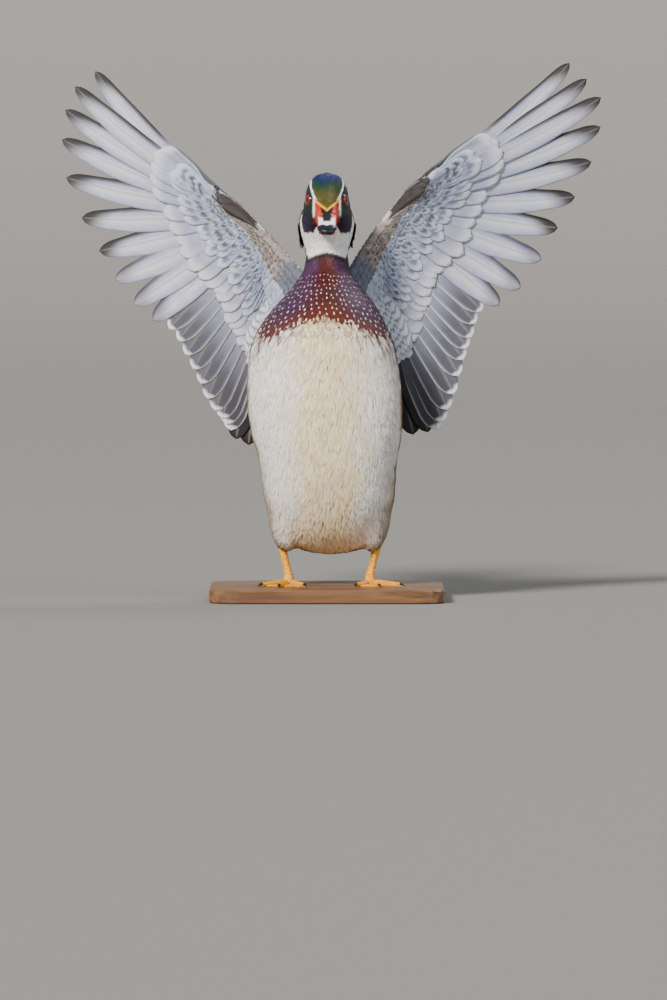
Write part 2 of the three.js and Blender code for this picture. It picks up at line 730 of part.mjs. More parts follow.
const FEATHER_FINISH = material(COLOURS.wing, 0.6);
const group = new THREE.Group();
const bird = new THREE.Group();
bird.position.z = BASE_THICKNESS + GAP;
group.add(bird);
group.add(meshOf('stand_base', base(), material(COLOURS.wood, 0.5)));

let head = fuse([trunk(HEAD_LEVELS), lids(-1), lids(1), crest()]);
for (const side of [-1, 1]) head = head.subtract(eyeball(side, GAP));
head = head.subtract(trunk([NECK_FOOT - 20, ...NECK_LEVELS], GAP));
bird.add(meshOf('head', head, material(COLOURS.green, 0.5)));
bird.add(meshOf('bill_upper', upperBill(), material(COLOURS.bill, 0.35)));
bird.add(meshOf('bill_lower', lowerBill(), material(COLOURS.bill, 0.35)));
bird.add(meshOf('neck', trunk(NECK_LEVELS), material(COLOURS.chestnut, 0.6)));
const torso = fuse([trunk(TORSO_LEVELS), thigh(-1, 0), thigh(1, 0)]);
bird.add(meshOf('torso', torso, material(COLOURS.belly, 0.8)));
bird.add(meshOf('tail', tail(), material(COLOURS.tail, 0.5)));
for (const [label, side, spec] of [['right', -1, RIGHT_WING], ['left', 1, LEFT_WING]]) {
  bird.add(meshOf(`wing_${label}`, wing(spec), FEATHER_FINISH));
  bird.add(meshOf(`eye_${label}`, eyeball(side, 0), material(COLOURS.eye, 0.1)));
  const leg = shank(side).subtract(thigh(side, GAP)).subtract(bodyEnvelope);
  bird.add(meshOf(`leg_${label}`, leg, material(COLOURS.leg, 0.5)));
  bird.add(meshOf(`foot_${label}`, foot(side), material(COLOURS.leg, 0.5)));
}

export default group;
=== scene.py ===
# A male wood duck at life size, reared upright on both feet with its wings raised and spread.
# Metres, +Z up. The bird faces -Y and its left wing is on the +X side.
import math

import bpy
import numpy as np
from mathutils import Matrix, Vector


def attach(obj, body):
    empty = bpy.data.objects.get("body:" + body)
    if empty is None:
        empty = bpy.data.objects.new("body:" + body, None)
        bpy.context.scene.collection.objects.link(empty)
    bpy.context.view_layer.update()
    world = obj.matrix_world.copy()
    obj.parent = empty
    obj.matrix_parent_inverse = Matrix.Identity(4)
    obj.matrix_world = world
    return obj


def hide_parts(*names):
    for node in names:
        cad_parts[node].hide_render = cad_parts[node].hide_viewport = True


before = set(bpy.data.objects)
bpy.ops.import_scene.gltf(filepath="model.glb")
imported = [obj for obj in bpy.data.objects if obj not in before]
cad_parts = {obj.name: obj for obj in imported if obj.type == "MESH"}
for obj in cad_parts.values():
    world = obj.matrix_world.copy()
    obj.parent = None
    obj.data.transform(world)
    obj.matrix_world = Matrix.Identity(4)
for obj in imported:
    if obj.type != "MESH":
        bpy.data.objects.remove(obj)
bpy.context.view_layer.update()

# The view: level with the bird's belly and a little above it, through a long lens. The picture
# shows 0.855 mm of the bird to each of its 1000 rows.
PIXEL = 0.000855
ROWS = 1000
VIEW_DISTANCE = 8.0
VIEW_ELEVATION = math.radians(2.0)
VIEW_TARGET = Vector((0.0056, 0.0, 0.085))
camera_data = bpy.data.cameras.new("view")
camera_data.sensor_width = 36
camera_data.lens = camera_data.sensor_width * VIEW_DISTANCE / (PIXEL * ROWS)
camera_data.clip_end = 100
camera = bpy.data.objects.new("view", camera_data)
bpy.context.collection.objects.link(camera)
camera.location = VIEW_TARGET + VIEW_DISTANCE * Vector(
    (0, -math.cos(VIEW_ELEVATION), math.sin(VIEW_ELEVATION))
)
camera.rotation_euler = (math.pi / 2 - VIEW_ELEVATION, 0, 0)
bpy.context.scene.camera = camera

# The studio: a pale floor that curves up into a pale wall, and three large soft lights: a warm
# key from the bird's right front, a cool fill from its left and a rim light from behind.
def material(name):
    """A new material with its nodes, the call that links them and its shader."""
    made = bpy.data.materials.new(name)
    made.use_nodes = True
    nodes = made.node_tree.nodes
    return made, nodes, made.node_tree.links.new, nodes["Principled BSDF"]


def with_inputs(node, **values):
    """Sets a node's inputs, whose names are written with _ for a space, and gives it back."""
    for name, value in values.items():
        node.inputs[name.replace("_", " ")].default_value = value
    return node


FLOOR_HALF = 16.0
FLOOR_NEAR = -16.0
WALL_AT = 10.0
WALL_CURVE = 4.0
WALL_HEIGHT = 12.0
CURVE_STEPS = 12
floor_line = [(FLOOR_NEAR, 0.0), (WALL_AT, 0.0)]
for step in range(1, CURVE_STEPS + 1):
    bend = math.pi / 2 * step / CURVE_STEPS
    floor_line.append((WALL_AT + WALL_CURVE * math.sin(bend), WALL_CURVE * (1 - math.cos(bend))))
floor_line.append((WALL_AT + WALL_CURVE, WALL_HEIGHT))
floor_points = [(x, y, z) for y, z in floor_line for x in (-FLOOR_HALF, FLOOR_HALF)]
floor_faces = [(2 * k, 2 * k + 1, 2 * k + 3, 2 * k + 2) for k in range(len(floor_line) - 1)]
floor_mesh = bpy.data.meshes.new("floor")
floor_mesh.from_pydata(floor_points, [], floor_faces)
floor_mesh.polygons.foreach_set("use_smooth", [True] * len(floor_faces))
floor = bpy.data.objects.new("floor", floor_mesh)
bpy.context.collection.objects.link(floor)
floor_paint, nodes, link, shader = material("floor_paint")
with_inputs(shader, Base_Color=(0.20, 0.194, 0.184, 1), Roughness=0.85)
floor_mesh.materials.append(floor_paint)

for name, place, spread, power, tone in [
    ("key", (-1.5, -2.4, 1.9), 14, 6.6, (1.0, 0.965, 0.90)),
    ("fill", (2.0, -1.6, 0.9), 40, 0.95, (0.88, 0.94, 1.0)),
    ("rim", (0.9, 1.6, 1.5), 25, 1.1, (1.0, 1.0, 1.0)),
]:
    light_data = bpy.data.lights.new(name, "SUN")
    light_data.angle = math.radians(spread)
    light_data.energy = power
    light_data.color = tone
    light = bpy.data.objects.new(name, light_data)
    bpy.context.collection.objects.link(light)
    light.location = place
    light.rotation_euler = (-Vector(place)).to_track_quat("-Z", "Y").to_euler()
world = bpy.data.worlds.new("studio")
world.use_nodes = True
with_inputs(world.node_tree.nodes["Background"], Color=(0.80, 0.83, 0.88, 1), Strength=0.38)
bpy.context.scene.world = world


# The base: one board of oiled walnut with rounded corners, cut from a plank, its grain along X.
# The bird's feet stand flat on it. Its own mesh comes from the solids.
def tint(code):
    """A colour such as 8a6a48 as the linear values that a shader takes."""
    parts = [int(code[k : k + 2], 16) / 255 for k in (0, 2, 4)]
    return tuple(p / 12.92 if p <= 0.04045 else ((p + 0.055) / 1.055) ** 2.4 for p in parts)


def ramp(nodes, stops):
    """A colour ramp with its stops, each a place from 0 to 1 and a colour."""
    node = nodes.new("ShaderNodeValToRGB")
    elements = node.color_ramp.elements
    while len(elements) < len(stops):
        elements.new(0.5)
    for element, (place, code) in zip(elements, stops):
        element.position = place
        element.color = (*tint(code), 1)
    return node


def raise_surface(nodes, link, shader, height, strength, distance):
    """Raises a shader's surface by a height, up to a distance in metres."""
    bump = with_inputs(nodes.new("ShaderNodeBump"), Strength=strength, Distance=distance)
    link(height, bump.inputs["Height"])
    link(bump.outputs["Normal"], shader.inputs["Normal"])


walnut, nodes, link, shader = material("walnut")
place = nodes.new("ShaderNodeTexCoord")
stretch = with_inputs(nodes.new("ShaderNodeMapping"), Scale=(3, 26, 26))
rings = with_inputs(nodes.new("ShaderNodeTexNoise"), Scale=3.2, Detail=8, Distortion=1.2)
grain_tone = ramp(nodes, [(0.3, "4a3220"), (0.5, "6d4a2f"), (0.7, "8a6341")])
link(place.outputs["Object"], stretch.inputs["Vector"])
link(stretch.outputs["Vector"], rings.inputs["Vector"])
link(rings.outputs["Fac"], grain_tone.inputs["Fac"])
link(grain_tone.outputs["Color"], shader.inputs["Base Color"])
raise_surface(nodes, link, shader, rings.outputs["Fac"], 0.15, 0.0006)
with_inputs(shader, Roughness=0.42)


def dress(node_name, finish):
    """Gives a part whose mesh is the solids' own its material."""
    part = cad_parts[node_name]
    part.data.materials.clear()
    part.data.materials.append(finish)


dress("stand_base", walnut)

# The body's form: the flesh of belly, breast, neck and head as level sections from the vent to
# the crown, in mm up from the soles. Skin, coat and markings all go by it.
MM = 0.001
SOLES = 0.0123


def profile(knots):
    """A smooth curve through (at, value) knots that never overshoots them."""
    xs = np.array([k[0] for k in knots], float)
    ys = np.array([k[1] for k in knots], float)
    rise = np.diff(ys) / np.diff(xs)
    slope = np.zeros(len(xs))
    slope[0], slope[-1] = rise[0], rise[-1]
    same = rise[:-1] * rise[1:] > 0
    total = np.where(same, rise[:-1] + rise[1:], 1)
    slope[1:-1] = np.where(same, 2 * rise[:-1] * rise[1:] / total, 0)

    def value(at):
        at = np.clip(np.asarray(at, float), xs[0], xs[-1])
        k = np.clip(np.searchsorted(xs, at) - 1, 0, len(xs) - 2)
        span = xs[k + 1] - xs[k]
        t = (at - xs[k]) / span
        s = 1 - t
        return (
            ys[k] * s * s * (1 + 2 * t)
            + ys[k + 1] * t * t * (3 - 2 * t)
            + slope[k] * span * t * s * s
            - slope[k + 1] * span * t * t * s
        )

    return value


VENT = 25
CROWN = 353
EYE_HEIGHT = 329
half_width = profile([
    (VENT, 0), (27, 17), (31, 30), (37, 41), (50, 50), (74, 56), (107, 59.4), (132, 64.8),
    (158, 66.3), (201, 62.8), (213, 58.5), (235, 46), (256, 29), (272, 19.5), (285, 18),
    (292, 20), (301, 22.6), (309.5, 23.8), (320.6, 21.2), (EYE_HEIGHT, 19.2), (338, 17.6),
    (346, 13.6), (350.5, 9), (CROWN, 0),
])
front = profile([
    (VENT, 14), (28, 0), (37, -16), (50, -30), (74, -45), (107, -56), (132, -60), (158, -62),
    (201, -60), (232, -52), (256, -37), (272, -24), (285, -20), (292, -22), (301, -28),
    (309.5, -33), (320.6, -35.5), (EYE_HEIGHT, -34.5), (338, -30), (346, -22.5), (350.5, -15),
    (CROWN, -6),
])
back = profile([
    (VENT, 14), (28, 28), (37, 42), (50, 50), (74, 54), (107, 55), (132, 54), (158, 52),
    (201, 48), (232, 42), (256, 34), (272, 28), (285, 25), (301, 27), (320.6, 27.5),
    (EYE_HEIGHT, 25.5), (338, 20), (346, 12), (350.5, 4), (CROWN, -6),
])
lean = profile([(VENT, 3), (107, 1), (158, -2), (213, -3.5), (256, 0), (CROWN, 0)])
fullness = profile([(VENT, 2), (107, 2.25), (201, 2.2), (256, 2), (CROWN, 2)])


def trunk(height, turn, grow=0.0):
    """Points of the body in mm from the soles: turn 0 is its left side, -90 degrees its front."""
    height = np.asarray(height, float)
    power = 2 / fullness(height)
    deep = np.maximum((back(height) - front(height)) / 2 + grow, 0.02)
    wide = np.maximum(half_width(height) + grow, 0.02)
    c, s = np.cos(turn), np.sin(turn)
    x = lean(height) + wide * np.sign(c) * np.abs(c) ** power
    y = (back(height) + front(height)) / 2 + deep * np.sign(s) * np.abs(s) ** power
    return np.stack([x, y, height + 0 * x], -1)


def unit(v):
    """Vectors at length 1."""
    return v / np.maximum(np.linalg.norm(v, axis=-1, keepdims=True), 1e-9)


def smooth(low, high, value):
    """A soft step from 0 at low to 1 at high, which may be the lesser of the two."""
    t = np.clip((value - low) / (high - low), 0, 1)
    return t * t * (3 - 2 * t)


def mixed(first, second, share):
    """One tone going over into another by a share of 0 to 1."""
    share = np.asarray(share)[..., None]
    return np.asarray(first) * (1 - share) + np.asarray(second) * share


def painted(tone, *layers):
    """A tone with layers laid over it in turn, each a colour and its share."""
    for colour, share in layers:
        tone = mixed(tone, colour, share)
    return tone


# The markings: the colours of the male's plumage, alike on its left and right. They are laid out
# by height on the body, in mm from the soles, and by bearing, 0 in front and 180 degrees behind.
CREAM, WHITE, BUFF = tint("f6dfae"), tint("fbfaf6"), tint("a9885a")
CHESTNUT, PLUM, LOW_CHESTNUT, RUST = tint("481110"), tint("3c1040"), tint("6e2a08"), tint("6b3210")
BACK_BRONZE, BACK_GREEN, RUMP_BLACK = tint("2b2a22"), tint("1d2f2a"), tint("121514")
FLANK_BROWN, VENT_BROWN, NECK_PURPLE = tint("6f5837"), tint("4a3a24"), tint("2c0a22")
BARE_RED, BARE_YELLOW = tint("b01808"), tint("f0a800")
CROWN_GREEN, CROWN_BLUE, FOREHEAD = tint("02361f"), tint("04184e"), tint("4d4510")
FACE_BLACK, FACE_PURPLE, BLACK = tint("090b12"), tint("33083f"), tint("060607")


def bearing_of(points):
    """Degrees round the body from its front, within the section at each point's height."""
    middle = (back(points[..., 2]) + front(points[..., 2])) / 2
    deep = np.maximum((back(points[..., 2]) - front(points[..., 2])) / 2, 1)
    wide = np.maximum(half_width(points[..., 2]), 1)
    across = (points[..., 0] - lean(points[..., 2])) / wide
    return np.degrees(np.arctan2(across, -(points[..., 1] - middle) / deep))


BROW_LINE = profile([
    (0, 319), (20, 324), (31, 329), (50, 338), (76, 344.5), (100, 346), (130, 342), (180, 334),
])
LOW_LINE = profile([(70, 320), (95, 323), (120, 318), (180, 303)])
BREAST_EDGE = profile([(0, 227), (25, 222), (45, 211), (70, 203), (110, 205), (180, 214)])
THROAT_EDGE = profile([(0, 285), (40, 281.5), (70, 279), (110, 284), (180, 292)])


def ripple(points, seed, scale):
    """Soft irregular noise of about -1 to 1, the same on every run."""
    p = points / scale
    x, y, z = p[..., 0] + seed, p[..., 1] - seed, p[..., 2] + 0.37 * seed
    return (
        np.sin(1.7 * x + 2.1 * np.sin(0.9 * y + z)) + np.sin(2.3 * y + 1.9 * np.sin(1.1 * z + x))
        + np.sin(2.9 * z + 1.3 * np.sin(1.3 * x - y))
    ) / 3


def band(off_middle, half, fade_out, fade_in):
    """1 within half a band's width of its middle line, and 0 past its soft edge."""
    return smooth(half + fade_out, half - fade_in, np.abs(off_middle))


BILL_FORK = 321.5
BILL_FORK_RISE = 0.80
CROWN_FOOT, CROWN_BLUE_FROM = 341, 348
THROAT_PATCH_TOP, THROAT_PATCH_SIDE = 301, 62
FINGER_TOP, FINGER_FOOT, FINGER_BEARING = 317, 284, 70
NECK_RING_HEIGHT, NECK_RING_BACK = 286.5, 150
BAR_HEIGHT, BAR_LENGTH, BAR_HALF, WHITE_BAR, BLACK_BAR = 203, 28, 3.6, 73, 80
MARK_EDGE = 0.8


def head_markings(points, away, height):
    """Head and upper neck: dark glossy crown and face, and the white lines and patches on them."""
    wander = height + 2.5 * ripple(points, 6, 5)
    crown = painted(
        CROWN_GREEN, (CROWN_BLUE, smooth(CROWN_FOOT, CROWN_BLUE_FROM, wander)),
        (FOREHEAD, smooth(344, 330, wander)),
    )
    face = painted(
        FACE_BLACK, (FACE_PURPLE, 0.65 * smooth(318, 306, wander) * smooth(20, 60, away)),
        (CROWN_GREEN, 0.5 * smooth(312, 322, wander) * smooth(70, 40, away)),
        (FACE_PURPLE, smooth(95, 150, away)),
    )
    brow_half = 1.0 + 1.1 * smooth(60, 25, away)
    brow = band(height - BROW_LINE(away), brow_half, 0.5, 0) * smooth(17, 20, away)
    low_half = 0.5 + 0.9 * smooth(74, 92, away)
    low = band(height - LOW_LINE(away), low_half, 0.4, 0.3) * smooth(79, 83, away)
    throat_top = THROAT_PATCH_TOP + 6 * smooth(34, 18, away) + 0.8 * ripple(points, 3, 3)
    throat_side = THROAT_PATCH_SIDE + 1.6 * np.maximum(height - 294, 0)
    throat = smooth(0.7, -0.7, height - throat_top) * smooth(throat_side + 3, throat_side - 3, away)
    finger_half = (3.4 + 0.32 * (318 - height)) * np.sqrt(np.clip((FINGER_TOP - height) / 6, 0, 1))
    finger_middle = FINGER_BEARING + 0.045 * (318 - height) + 0.012 * np.maximum(height - 296, 0) ** 2
    cheek_finger = band(away - finger_middle, finger_half, MARK_EDGE, MARK_EDGE)
    cheek_finger = cheek_finger * smooth(FINGER_FOOT, 290, height) * (height < 320)
    neck_half = 1.1 + 4.4 * smooth(120, 56, away)
    neck_middle = NECK_RING_HEIGHT + 5.5 * smooth(60, NECK_RING_BACK, away)
    neck_finger = band(height - neck_middle, neck_half, 0.7, 0.7)
    neck_finger = neck_finger * smooth(154, 146, away) * smooth(50, 54, away)
    x, y = np.abs(points[..., 0]), points[..., 1]
    fork = height - BILL_FORK - BILL_FORK_RISE * x
    bare = painted(BARE_RED, (BARE_YELLOW, smooth(-2.2, -1.6, fork)), (FOREHEAD, smooth(-0.4, 0.4, fork)))
    at_bill = smooth(10.8, 10.0, x) * smooth(-24, -27, y) * smooth(309, 311, height)
    bill_rim = smooth(12.2, 11.5, x) * smooth(10.2, 10.8, x) * smooth(-20, -24, y)
    return painted(
        face, (crown, smooth(-1.5, 1.5, height - BROW_LINE(away))), (WHITE, brow), (WHITE, 0.9 * low),
        (NECK_PURPLE, smooth(306, 300, height) * smooth(60, 70, away)),
        (bare, at_bill * smooth(0.9, 0.3, fork)),
        (WHITE, bill_rim * smooth(313, 317, height) * smooth(332, 329, height)),
        (WHITE, np.maximum.reduce([throat, cheek_finger, neck_finger])),
    )


def markings(points):
    """The plumage's colour at points in mm from the soles."""
    height = points[..., 2]
    away = np.abs(bearing_of(points))
    rough = ripple(points, 1, 9)
    sides = smooth(10, 48, np.abs(points[..., 0]) + 6 * rough)
    whitened = np.clip(0.15 + 0.75 * sides + 0.2 * rough, 0, 1)
    flank = mixed(BUFF, FLANK_BROWN, 0.5 + 0.5 * np.sin(height * 4.2 + 2 * rough))
    low_flank = smooth(70, 84, away + 9 * rough) * smooth(198, 184, height)
    low_flank = np.maximum(low_flank, 0.85 * smooth(48, 74, away + 9 * rough) * smooth(125, 60, height))
    spine = smooth(112, 126, away + 3 * rough)
    trunk_tone = painted(
        CREAM, (WHITE, whitened), (BUFF, 0.10 * smooth(0.2, 0.9, ripple(points, 5, 5))),
        (flank, low_flank), (VENT_BROWN, 0.8 * smooth(46, 34, height) * smooth(40, 90, away)),
        (mixed(BACK_BRONZE, BACK_GREEN, 0.5 + 0.5 * rough), spine),
        (RUMP_BLACK, spine * smooth(110, 80, height)),
    )
    over_edge = height - BREAST_EDGE(away)
    low_breast = smooth(20, 3, over_edge) * smooth(95, 70, away)
    breast = painted(
        CHESTNUT, (PLUM, smooth(6, 40, away + 8 * rough) * (0.35 + 0.6 * smooth(218, 236, height))),
        (LOW_CHESTNUT, low_breast * (0.6 + 0.25 * rough)), (BACK_BRONZE, smooth(112, 140, away)),
    )
    above = smooth(-1.6, 1.6, over_edge + 2.4 * ripple(points, 8, 4))
    rust = smooth(26, 5, -over_edge) * smooth(-0.1, 0.4, ripple(points, 9, 2.6)) * smooth(104, 88, away)
    bar_half = BAR_HALF * np.sqrt(np.clip(1 - ((height - BAR_HEIGHT) / (BAR_LENGTH / 2)) ** 2, 0, 1))
    white_bar, black_bar = [
        band(away - bearing, bar_half, MARK_EDGE, MARK_EDGE) * (bar_half > 0)
        for bearing in (WHITE_BAR, BLACK_BAR)
    ]
    over_throat = height - THROAT_EDGE(away)
    collar = smooth(3.2, 1.8, np.abs(over_throat + 1.5)) * smooth(120, 100, away)
    return painted(
        trunk_tone, (breast, above), (RUST, rust * (1 - above) * (0.55 + 0.4 * smooth(5, 45, away))),
        (WHITE, white_bar), (BLACK, black_bar), (BLACK, 0.96 * collar),
        (head_markings(points, away, height), smooth(-0.7, 0.7, over_throat)),
    )


# The skin: one unbroken surface over head, neck, trunk, thighs and rump, in place of the solids'
# flesh. It lies a coat's depth inside the plumage and has the plumage's colours.
def mesh_object(name, points, faces, tones, bake, vane=None):
    """A mesh in metres with its plumage colours and maps. faces is a list of corner arrays."""
    mesh = bpy.data.meshes.new(name)
    loops = np.concatenate([f.ravel() for f in faces])
    sizes = np.concatenate([np.full(len(f), f.shape[1]) for f in faces])
    mesh.vertices.add(len(points))
    mesh.vertices.foreach_set("co", (points * MM + (0, 0, SOLES)).astype(np.float32).ravel())
    mesh.loops.add(len(loops))
    mesh.loops.foreach_set("vertex_index", loops.astype(np.int32))
    mesh.polygons.add(len(sizes))
    starts = np.concatenate([[0], np.cumsum(sizes)[:-1]])
    mesh.polygons.foreach_set("loop_start", starts.astype(np.int32))
    mesh.polygons.foreach_set("use_smooth", np.ones(len(sizes), bool))
    mesh.update(calc_edges=True)
    colour = mesh.color_attributes.new("plumage", "FLOAT_COLOR", "POINT")
    rgba = np.concatenate([tones, np.ones((len(tones), 1))], 1)
    colour.data.foreach_set("color", rgba.astype(np.float32).ravel())
    for map_name, coordinates in (("OFBake", bake), ("vane", vane)):
        if coordinates is not None:
            layer = mesh.uv_layers.new(name=map_name)
            layer.data.foreach_set("uv", coordinates[loops].astype(np.float32).ravel())
    made = bpy.data.objects.new(name, mesh)
    bpy.context.collection.objects.link(made)
    return made


def settled(made, finish, slot_name, *stands_for):
    """Gives a piece its material and its body, and hides the CAD nodes that it replaces; slot_name is not
    used.
    """
    made.data.materials.append(finish)
    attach(made, "root")
    if stands_for:
        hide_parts(*stands_for)
    return made


def tube_faces(rows, cols):
    """Faces of a tube of rows of cols points with a last point closing each end."""
    r = np.arange(rows - 1)[:, None] * cols
    k = np.arange(cols)
    nxt = (k + 1) % cols
    quads = np.stack([r + k, r + nxt, r + cols + nxt, r + cols + k], -1).reshape(-1, 4)
    low = np.stack([nxt, k, np.full(cols, rows * cols)], 1)
    far = (rows - 1) * cols
    high = np.stack([far + k, far + nxt, np.full(cols, rows * cols + 1)], 1)
    return [quads, np.concatenate([low, high])]


def with_ends(rings, first, last):
    """The values of a tube's rings in one list, with one more for the middle of each end."""
    return np.concatenate([rings.reshape(-1, rings.shape[-1]), [first, last]])


def tube_points(rings):
    return with_ends(rings, rings[0].mean(0), rings[-1].mean(0))


THIGH_CENTRE = np.array((36, 6, 52), float)
THIGH_RADII = np.array((15, 21, 24), float)
SIDE_SHIFT = 2.0
TAIL_SLOPE = math.radians(-14)
RUMP_CENTRE = np.array((0, 52, 52), float)
RUMP_RADII = np.array((21.5, 29.5, 8.6), float)


def off_body(points):
    """How far outside the form of head, neck, trunk and thighs points lie, in mm."""
    h = np.clip(points[..., 2], VENT + 0.01, CROWN - 0.01)
    wide = np.maximum(half_width(h), 0.05)
    deep = np.maximum((back(h) - front(h)) / 2, 0.05)
    power = fullness(h)
    x = np.abs((points[..., 0] - lean(h)) / wide)
    y = np.abs((points[..., 1] - (back(h) + front(h)) / 2) / deep)
    radius = (x**power + y**power) ** (1 / power)
    past = np.maximum(points[..., 2] - CROWN, 0) + np.maximum(VENT - points[..., 2], 0)
    nearest = (radius - 1) * np.minimum(wide, deep) + past
    for side in (-1, 1):
        centre = THIGH_CENTRE * (side, 1, 1) + (SIDE_SHIFT, 0, 0)
        thigh = (np.linalg.norm((points - centre) / THIGH_RADII, axis=-1) - 1) * THIGH_RADII.min()
        soft = np.clip(0.5 + (thigh - nearest) / 16, 0, 1)
        nearest = thigh * (1 - soft) + nearest * soft - 4 * soft * (1 - soft)
    x, y, z = np.moveaxis(points - RUMP_CENTRE, -1, 0)
    along_it = y * math.cos(TAIL_SLOPE) + z * math.sin(TAIL_SLOPE)
    above_it = z * math.cos(TAIL_SLOPE) - y * math.sin(TAIL_SLOPE)
    rump = np.stack([x, along_it, above_it], -1) / RUMP_RADII
    rump = (np.linalg.norm(rump, axis=-1) - 1) * RUMP_RADII.min()
    soft = np.clip(0.5 + (rump - nearest) / 12, 0, 1)
    return rump * (1 - soft) + nearest * soft - 3 * soft * (1 - soft)


def uphill(points, step=0.5):
    """How off_body rises at points, which is straight out of the body's form."""
    slope = [
        off_body(points + np.eye(3)[k] * step) - off_body(points - np.eye(3)[k] * step)
        for k in range(3)
    ]
    return np.stack(slope, -1) / (2 * step)


def onto_body(points, rounds=4):
    """Moves points in or out until they lie on the body's form."""
    for _ in range(rounds):
        slope = uphill(points)
        steep = np.maximum((slope**2).sum(-1), 0.05)
        points = points - slope * (off_body(points) / steep)[..., None]
    return points


def bake_place(points):
    """The place of points on the body's unwrap: bearing across, height up."""
    return np.stack([
        bearing_of(points) / 360 + 0.5,
        (points[..., 2] - VENT) / (CROWN - VENT),
    ], -1)


TRUNK_COAT = 2.2
HEAD_COAT = 1.1
SKIN_ROWS = 300
SKIN_COLS = 220
THROAT_TOP = 300
THROAT_FOOT = 265
row_turns = np.linspace(0.02, math.pi - 0.02, SKIN_ROWS)
skin_heights = (CROWN + VENT) / 2 - (CROWN - VENT) / 2 * np.cos(row_turns)
skin_turns = np.linspace(0, 2 * math.pi, SKIN_COLS, endpoint=False) - math.pi / 2
tall, turned = np.meshgrid(skin_heights, skin_turns, indexing="ij")
surface = onto_body(trunk(tall, turned))
coat_depth = TRUNK_COAT + (HEAD_COAT - TRUNK_COAT) * smooth(THROAT_FOOT, THROAT_TOP, surface[..., 2])
skin_rings = surface - coat_depth[..., None] * unit(uphill(surface))
skin_points = tube_points(skin_rings)
skin_bake = np.stack([(turned + math.pi / 2) / (2 * math.pi), (tall - VENT) / (CROWN - VENT)], -1)
skin_bake = with_ends(skin_bake, (0.5, 0), (0.5, 1))
skin = mesh_object(
    "skin", skin_points, tube_faces(SKIN_ROWS, SKIN_COLS), markings(skin_points), skin_bake,
)


def effect_group(name, inputs, outputs):
    """An empty shader group with named inputs and outputs, each a (name, kind of socket)."""
    group = bpy.data.node_groups.new(name, "ShaderNodeTree")
    for direction, sockets in (("INPUT", inputs), ("OUTPUT", outputs)):
        for socket, kind in sockets:
            group.interface.new_socket(socket, in_out=direction, socket_type="NodeSocket" + kind)
    nodes = group.nodes
    return group, nodes, group.links.new, nodes.new("NodeGroupInput"), nodes.new("NodeGroupOutput")


def sum_node(nodes, operation):
    """A node that does one sum."""
    node = nodes.new("ShaderNodeMath")
    node.operation = operation
    return node


def barb_group():
    """Fine barbs slanting off a feather's shaft, from the map that runs along each feather."""
    group, nodes, link, given, result = effect_group(
        "feather_barbs", [("Count", "Float"), ("Slant", "Float")], [("Height", "Float")],
    )
    along = nodes.new("ShaderNodeUVMap")
    along.uv_map = "vane"
    split = nodes.new("ShaderNodeSeparateXYZ")
    off_shaft, slanted, behind, turns, wave = [
        sum_node(nodes, operation)
        for operation in ("ABSOLUTE", "MULTIPLY", "SUBTRACT", "MULTIPLY", "SINE")
    ]
    link(along.outputs["UV"], split.inputs["Vector"])
    link(split.outputs["X"], off_shaft.inputs[0])
    link(off_shaft.outputs[0], slanted.inputs[0])
    link(given.outputs["Slant"], slanted.inputs[1])
    link(split.outputs["Y"], behind.inputs[0])
    link(slanted.outputs[0], behind.inputs[1])
    link(behind.outputs[0], turns.inputs[0])
    link(given.outputs["Count"], turns.inputs[1])
    link(turns.outputs[0], wave.inputs[0])
    link(wave.outputs[0], result.inputs["Height"])
    return group


def mottle_group():
    """Fine mottling: noise that takes a colour from dark to pale, and its height for a bump."""
    group, nodes, link, given, result = effect_group(
        "mottle",
        [("Place", "Vector"), ("Color", "Color"), ("Scale", "Float"), ("Detail", "Float"),
         ("Dark", "Float"), ("Pale", "Float"), ("Streak", "Float")],
        [("Color", "Color"), ("Height", "Float")],
    )
    noise, shade = nodes.new("ShaderNodeTexNoise"), nodes.new("ShaderNodeMapRange")
    streaked, toned = sum_node(nodes, "ADD"), nodes.new("ShaderNodeVectorMath")
    toned.operation = "SCALE"
    link(given.outputs["Place"], noise.inputs["Vector"])
    link(given.outputs["Scale"], noise.inputs["Scale"])
    link(given.outputs["Detail"], noise.inputs["Detail"])
    link(noise.outputs["Fac"], shade.inputs["Value"])
    link(given.outputs["Dark"], shade.inputs["To Min"])
    link(given.outputs["Pale"], shade.inputs["To Max"])
    link(shade.outputs["Result"], streaked.inputs[0])
    link(given.outputs["Streak"], streaked.inputs[1])
    link(given.outputs["Color"], toned.inputs[0])
    link(streaked.outputs[0], toned.inputs["Scale"])
    link(toned.outputs["Vector"], result.inputs["Color"])
    link(noise.outputs["Fac"], result.inputs["Height"])
    return group


BARBS, MOTTLE = barb_group(), mottle_group()


def mottled_plumage(nodes, link, shader, coordinates="Object", **values):
    """Mottles the colours painted on a mesh and feeds them to a shader."""
    tone, place = nodes.new("ShaderNodeAttribute"), nodes.new("ShaderNodeTexCoord")
    tone.attribute_name = "plumage"
    mottle = nodes.new("ShaderNodeGroup")
    mottle.node_tree = MOTTLE
    with_inputs(mottle, **values)
    link(place.outputs[coordinates], mottle.inputs["Place"])
    link(tone.outputs["Color"], mottle.inputs["Color"])
    link(mottle.outputs["Color"], shader.inputs["Base Color"])
    return mottle


STREAK_DEPTH = 0.05
BARB_RELIEF = 0.0003


